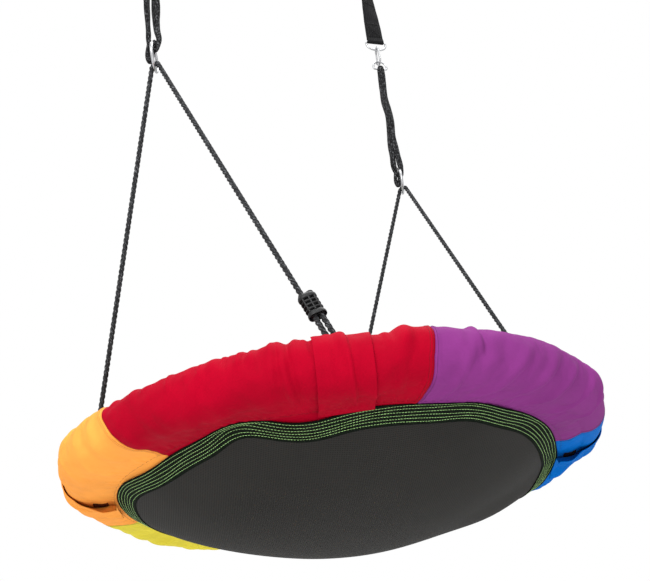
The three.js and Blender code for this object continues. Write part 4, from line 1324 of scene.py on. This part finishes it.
def make_strap(side, x):
    half = STRAP_THICKNESS / 2 - 0.00005
    line = strap_line(half)
    path = smooth_path(np.stack([np.zeros(len(line)), line[:, 0], line[:, 1]], axis=1), 0.002, closed=True)
    path[:, 1] += 0.00025 * np.sin(path[:, 2] * 140 + 1.3 * SIDES[side]) * (path[:, 2] < -0.07)
    section = np.array(rounded_section(STRAP_WIDTH / 2, half, 0.0009, 3))
    fine = []
    for a, b in zip(section, np.roll(section, -1, axis=0)):
        count = 12 if abs(a[0] - b[0]) > 0.01 else 1
        fine += [a + (b - a) * t for t in np.linspace(0, 1, count, endpoint=False)]
    fine = np.array(fine)
    points, faces = swept_section(path, fine, closed=True, first=(1, 0, 0))
    length = np.linalg.norm(path - np.roll(path, 1, axis=0), axis=1).cumsum()
    uv = np.stack(np.broadcast_arrays(fine[None, :, 0], length[:, None]), axis=-1)
    points = twisted(np.reshape(points, (-1, 3)), x)
    strap = face_outward(make_piece(f"strap_{side}", points, faces, WEBBING, uv))
    assign(strap, "strap_webbing", "hangers", f"tree_strap_{side}")

    threads = []
    foot = level(STRAP_BAR_HEIGHT)
    for low, high in ((-0.118, -0.074), (foot + 0.016, foot + 0.060)):
        w = STRAP_WIDTH / 2 - 0.005
        corners = [(-w, low), (w, low), (w, high), (-w, high), (-w, low), (w, high), (-w, high), (w, low)]
        for face in (-1, 1):
            off = face * (STRAP_THICKNESS + 0.0002)
            inset = [(0.86 * a, (z - low) * 0.88 + low + 0.0026) for a, z in corners[:5]]
            for line in (corners, inset):
                ends = np.array([(a, off, z) for a, z in line])
                steps = [a + (b - a) * t for a, b in zip(ends, ends[1:]) for t in np.linspace(0, 1, 12)]
                threads.append(sewn(twisted(steps, x), 0.004, 0.0005))
    finished(f"strap_sewing_{side}", threads, BLACK_THREAD, "strap_webbing", "hangers")


SLING_STRANDS = 10
SLING_PITCH = 0.030

# Each branch of a sling, from the D-ring's bar to the O-ring: (across, height, half its width).
SLING_BRANCHES = {
    "left": ([(-0.0072, 1.080, 0.0060), (-0.0090, 1.040, 0.0072), (-0.0100, 0.980, 0.0082),
              (-0.0112, 0.900, 0.0090), (-0.0085, 0.840, 0.0074), (-0.0090, 0.815, 0.0060),
              (-0.0115, 0.794, 0.0050), (-0.0060, 0.7725, 0.0034)],
             [(0.0072, 1.080, 0.0048), (0.0092, 1.040, 0.0048), (0.0094, 0.980, 0.0048),
              (0.0092, 0.900, 0.0048), (0.0088, 0.850, 0.0046), (0.0084, 0.815, 0.0044),
              (0.0092, 0.792, 0.0042), (0.0058, 0.7725, 0.0034)]),
    "right": ([(-0.0060, 1.080, 0.0058), (0.0010, 1.035, 0.0062), (0.0020, 1.000, 0.0062),
               (-0.0040, 0.955, 0.0058), (-0.0036, 0.925, 0.0060), (-0.0005, 0.880, 0.0064),
               (-0.0030, 0.830, 0.0070), (-0.0050, 0.796, 0.0064), (-0.0045, 0.7725, 0.0040)],
              [(0.0062, 1.080, 0.0058), (0.0090, 1.035, 0.0062), (0.0095, 1.000, 0.0062),
               (0.0040, 0.955, 0.0058), (0.0044, 0.925, 0.0060), (0.0090, 0.880, 0.0064),
               (0.0100, 0.830, 0.0070), (0.0110, 0.796, 0.0064), (0.0060, 0.7725, 0.0040)]),
}
# The bight that hangs through the O-ring, down its near side: (metres across, above its middle).
SLING_BIGHT = [(0.0060, 0.0400), (0.0096, 0.0270), (0.0126, 0.0110), (0.0126, -0.0010), (0.0096, -0.0085),
               (0.0060, -0.0060), (0.0046, 0.0020), (0.0030, 0.0110), (0.0000, 0.0240),
               (-0.0030, 0.0380)]


def sling_line(side):
    """The middle line of a sling's loop: (across, height, half its width)."""
    low, high = SLING_BRANCHES[side]
    over = np.column_stack([arc((0, SLING_BAR_HEIGHT), 0.0064, 0, 180, 10), np.full(10, 0.0035)])
    return np.vstack([over, low, [(0.0, 0.7700, 0.0032)], high[::-1]])


def braid(path, half_out, half_wide, turn, closed):
    """(points, faces) of a flattened plait: strands that wind both ways and cross in bumps.

    half_out lies in the upright plane that stands at the turn, and half_wide across it.
    """
    pitch, crossings, sides = SLING_PITCH, SLING_STRANDS / 2, 36
    step = np.linalg.norm(np.roll(path, -1, axis=0) - path, axis=1)
    run = np.concatenate([[0], np.cumsum(step)[:-1]])
    if closed:
        pitch = step.sum() / round(step.sum() / pitch)
    angle = np.linspace(0, 2 * math.pi, sides, endpoint=False)
    wind = 2 * math.pi * run[:, None] / pitch
    right = np.cos(crossings * (angle[None] - wind))
    left = np.cos(crossings * (angle[None] + wind))
    over = np.cos(crossings * wind)
    grow = 1 + 0.055 * (np.maximum(right, left) + 0.5 * np.tanh(2 * (right - left) * over))
    tangents = frames_along(path, closed)[0]
    plane = np.stack([np.sin(turn), -np.cos(turn), np.zeros(len(path))], axis=1)
    out = np.cross(tangents, plane)
    out /= np.linalg.norm(out, axis=1)[:, None]
    wide = np.cross(tangents, out)
    points = (path[:, None] + out[:, None] * (half_out[:, None] * np.cos(angle) * grow)[..., None]
              + wide[:, None] * (half_wide[:, None] * np.sin(angle) * grow)[..., None])
    return points.reshape(-1, 3), skin_faces(len(path), sides, closed)


def sling_turn(height):
    """The turn of the sling's plane, in radians, at a height above the rim."""
    foot = RING_HEIGHT + O_RING_RADIUS
    share = np.clip((height - foot) / (SLING_BAR_HEIGHT - foot), 0, 1)
    return np.radians(SLING_FOOT_TURN + (SLING_TOP_TURN - SLING_FOOT_TURN) * share**2 * (3 - 2 * share))


def make_sling(side, x):
    outline = sling_line(side)
    turn = sling_turn(outline[:, 1])
    points = np.stack([x + outline[:, 0] * np.cos(turn), outline[:, 0] * np.sin(turn),
                       outline[:, 1] + level(0), outline[:, 2]], axis=1)
    path, half_out = np.split(smooth_path(points, 0.0014, closed=True), [3], axis=1)
    height = path[:, 2] - level(0)
    bend = smooth_bump(height, RING_HEIGHT + O_RING_RADIUS + 0.034, SLING_BAR_HEIGHT - 0.030, 0.034)
    plump = 1 + 0.06 * np.sin(path[:, 2] * 97 + x) * bend
    half_out = half_out[:, 0] * plump
    half_wide = (0.0060 + (0.0075 - half_out) * bend) * plump
    loop = braid(path, half_out, half_wide, sling_turn(height), True)
    finished(f"sling_loop_{side}", [loop], BRAID, "sling_braid", f"{side}_sling", f"sling_{side}")

    bight = smooth_path(upright(SLING_BIGHT, SLING_FOOT_TURN, x, RING_HEIGHT), 0.0014)
    count = len(bight)
    drape = braid(bight, np.full(count, 0.0042), np.full(count, 0.0062),
                  np.full(count, math.radians(SLING_FOOT_TURN)), False)
    finished(f"sling_bight_{side}", [drape], BRAID, "sling_braid", f"{side}_sling")


for side, sign in SIDES.items():
    make_strap(side, sign * HANG_X)
    make_d_ring(f"strap_d_ring_{side}", f"strap_ring_{side}", "hangers", sign * HANG_X,
                STRAP_BAR_HEIGHT, STRAP_BOW_HEIGHT, STRAP_RING_HALF_WIDTH)
    make_carabiner(side, sign * HANG_X)
    make_d_ring(f"sling_d_ring_{side}", f"sling_ring_{side}", f"{side}_sling", sign * HANG_X,
                SLING_BAR_HEIGHT, SLING_ARCH_HEIGHT, SLING_RING_HALF_WIDTH)
    make_sling(side, sign * HANG_X)
    make_o_ring(side, sign * HANG_X)

# ---------------------------------------------------------------- adjusters

ADJUSTER_HALF_WIDTH = 0.0155
ADJUSTER_HALF_THICKNESS = 0.0105


def stadium(half_width, half_thickness):
    """An outline with straight sides and round ends."""
    straight = half_width - half_thickness
    return np.vstack([arc((straight, 0), half_thickness, -90, 90, 16),
                      arc((-straight, 0), half_thickness, 90, 270, 16)])


def lofted(rings):
    """(points, faces) of a body whose outlines, (inset, height) from the widest, follow on."""
    count = len(stadium(ADJUSTER_HALF_WIDTH, ADJUSTER_HALF_THICKNESS))
    points = [(*p, height) for inset, height in rings
              for p in stadium(ADJUSTER_HALF_WIDTH - inset, ADJUSTER_HALF_THICKNESS - inset)]
    faces = [tuple(f) for f in grid_faces(len(rings), count, False, True)]
    faces += [tuple(range(count))[::-1], tuple(range(len(points) - count, len(points)))]
    return np.array(points), faces


def adjuster_bars():
    """Short uprights between the ribs, which leave three rows of small windows."""
    bars = []
    for across in (-0.0098, 0.0, 0.0098):
        for face in (-1, 1):
            depth = ADJUSTER_HALF_THICKNESS - (0.0026 if across else 0.0008)
            middle = np.array([across, face * (depth - 0.0020)])
            outline = np.array(rounded_section(0.0013, 0.0024, 0.0006, 2)) + middle
            points = [(*p, z) for z in (0.0085, 0.0385) for p in outline]
            count = len(outline)
            bars.append((np.array(points), [tuple(f) for f in grid_faces(2, count, False, True)]))
    return bars


def strand_lip(across, radius, height, bead):
    """The rounded rim of a hole that a strand runs through."""
    ring = arc((across, 0), radius, 0, 360, 33)[:-1]
    return tube(np.column_stack([ring, np.full(len(ring), height)]), bead, 8, closed=True)


def make_adjuster(letter, hold):
    length = ADJUSTER_LENGTH
    parts = [
        lofted([(0.0052, 0.0060), (0.0052, 0.0395)]),
        lofted([(0.0024, 0.0046), (0.0020, 0.0010), (0.0010, 0.0), (0.0002, 0.0002), (0.0, 0.0012),
                (0.0, 0.0040), (0.0010, 0.0070), (0.0016, 0.0088), (0.0030, 0.0094)]),
        lofted([(0.0026, 0.0352), (0.0006, 0.0360), (0.0, 0.0372), (0.0, 0.0410), (0.0012, 0.0438),
                (0.0034, 0.0466), (0.0048, length - 0.0003), (0.0056, length)]),
    ]
    for k in range(3):
        z = 0.0136 + 0.0080 * k
        parts.append(lofted([(0.0045, z - 0.0019), (0.0014, z - 0.0016), (0.0005, z - 0.0008),
                             (0.0005, z + 0.0008), (0.0014, z + 0.0016), (0.0045, z + 0.0019)]))
    parts += adjuster_bars()
    parts += [strand_lip(STRAND_OFFSET, 0.0058, 0.0006, 0.0007),
              strand_lip(-STRAND_OFFSET, 0.0058, 0.0006, 0.0007),
              strand_lip(STRAND_OFFSET, 0.0056, length - 0.0002, 0.0008),
              strand_lip(-CUP_OFFSET, 0.0062, length - 0.0001, 0.0009)]
    points, faces = merged(parts)
    basis = np.array([tuple(hold.across), tuple(hold.through), tuple(hold.leg)])
    origin = np.array(hold.foot - hold.across * STRAND_OFFSET + hold.leg * hold.adjuster_start)
    piece = face_outward(make_piece(f"rope_adjuster_{letter}", origin + points @ basis, faces, PLASTIC))
    piece.data.set_sharp_from_angle(angle=math.radians(38))
    assign(piece, "adjuster_plastic", f"adjuster_{letter}", f"adjuster_{letter}")

    top = length - 0.0011
    profile = [(0.0, 0.0008), (0.0024, 0.0006), (0.0040, 0.0), (0.0046, -0.0012), (0.0047, -0.0040)]
    angle = np.linspace(0, 2 * math.pi, 24, endpoint=False)
    points = [(-CUP_OFFSET + (r + 0.0001) * math.cos(a), (r + 0.0001) * math.sin(a), top + z)
              for r, z in profile for a in angle]
    faces = [tuple(f) for f in grid_faces(len(profile), 24, False, True)]
    end = make_piece(f"rope_whipping_{letter}", origin + np.array(points) @ basis, faces, BLACK_THREAD)
    assign(face_outward(end), "rope", f"adjuster_{letter}", f"rope_end_{letter}")


for letter, hold in HOLDS.items():
    make_adjuster(letter, hold)

# ---------------------------------------------------------------- stage and lights


FLOOR_GAP = 0.45
FLOOR_HALF = 30.0


def make_stage():
    low = cad_box[0].z - FLOOR_GAP
    corners = [(x * FLOOR_HALF, y * FLOOR_HALF, low) for x, y in ((-1, -1), (1, -1), (1, 1), (-1, 1))]
    floor = make_piece("floor", corners, [(0, 1, 2, 3)], FLOOR, smooth=False)


def add_light(name, place, target, size, energy):
    data = bpy.data.lights.new(name, "AREA")
    data.shape = "DISK"
    data.size = size
    data.energy = energy
    lamp = bpy.data.objects.new(name, data)
    lamp.location = place
    lamp.rotation_euler = (Vector(target) - Vector(place)).to_track_quat("-Z", "Y").to_euler()
    bpy.context.scene.collection.objects.link(lamp)


def make_lights():
    seat = (0, 0, level(0))
    add_light("key", (-2.4, -1.4, level(1.5)), seat, 1.5, 75)
    add_light("under", (-1.2, -1.6, level(-1.3)), seat, 2.2, 16)
    add_light("top", (0.4, -0.2, level(2.6)), seat, 2.2, 55)
    world = bpy.data.worlds.new("studio")
    world.use_nodes = True
    background = world.node_tree.nodes["Background"]
    background.inputs["Color"].default_value = (1, 1, 1, 1)
    background.inputs["Strength"].default_value = 1.0
    bpy.context.scene.world = world
    bpy.context.scene.view_settings.view_transform = "Standard"


make_stage()
make_lights()
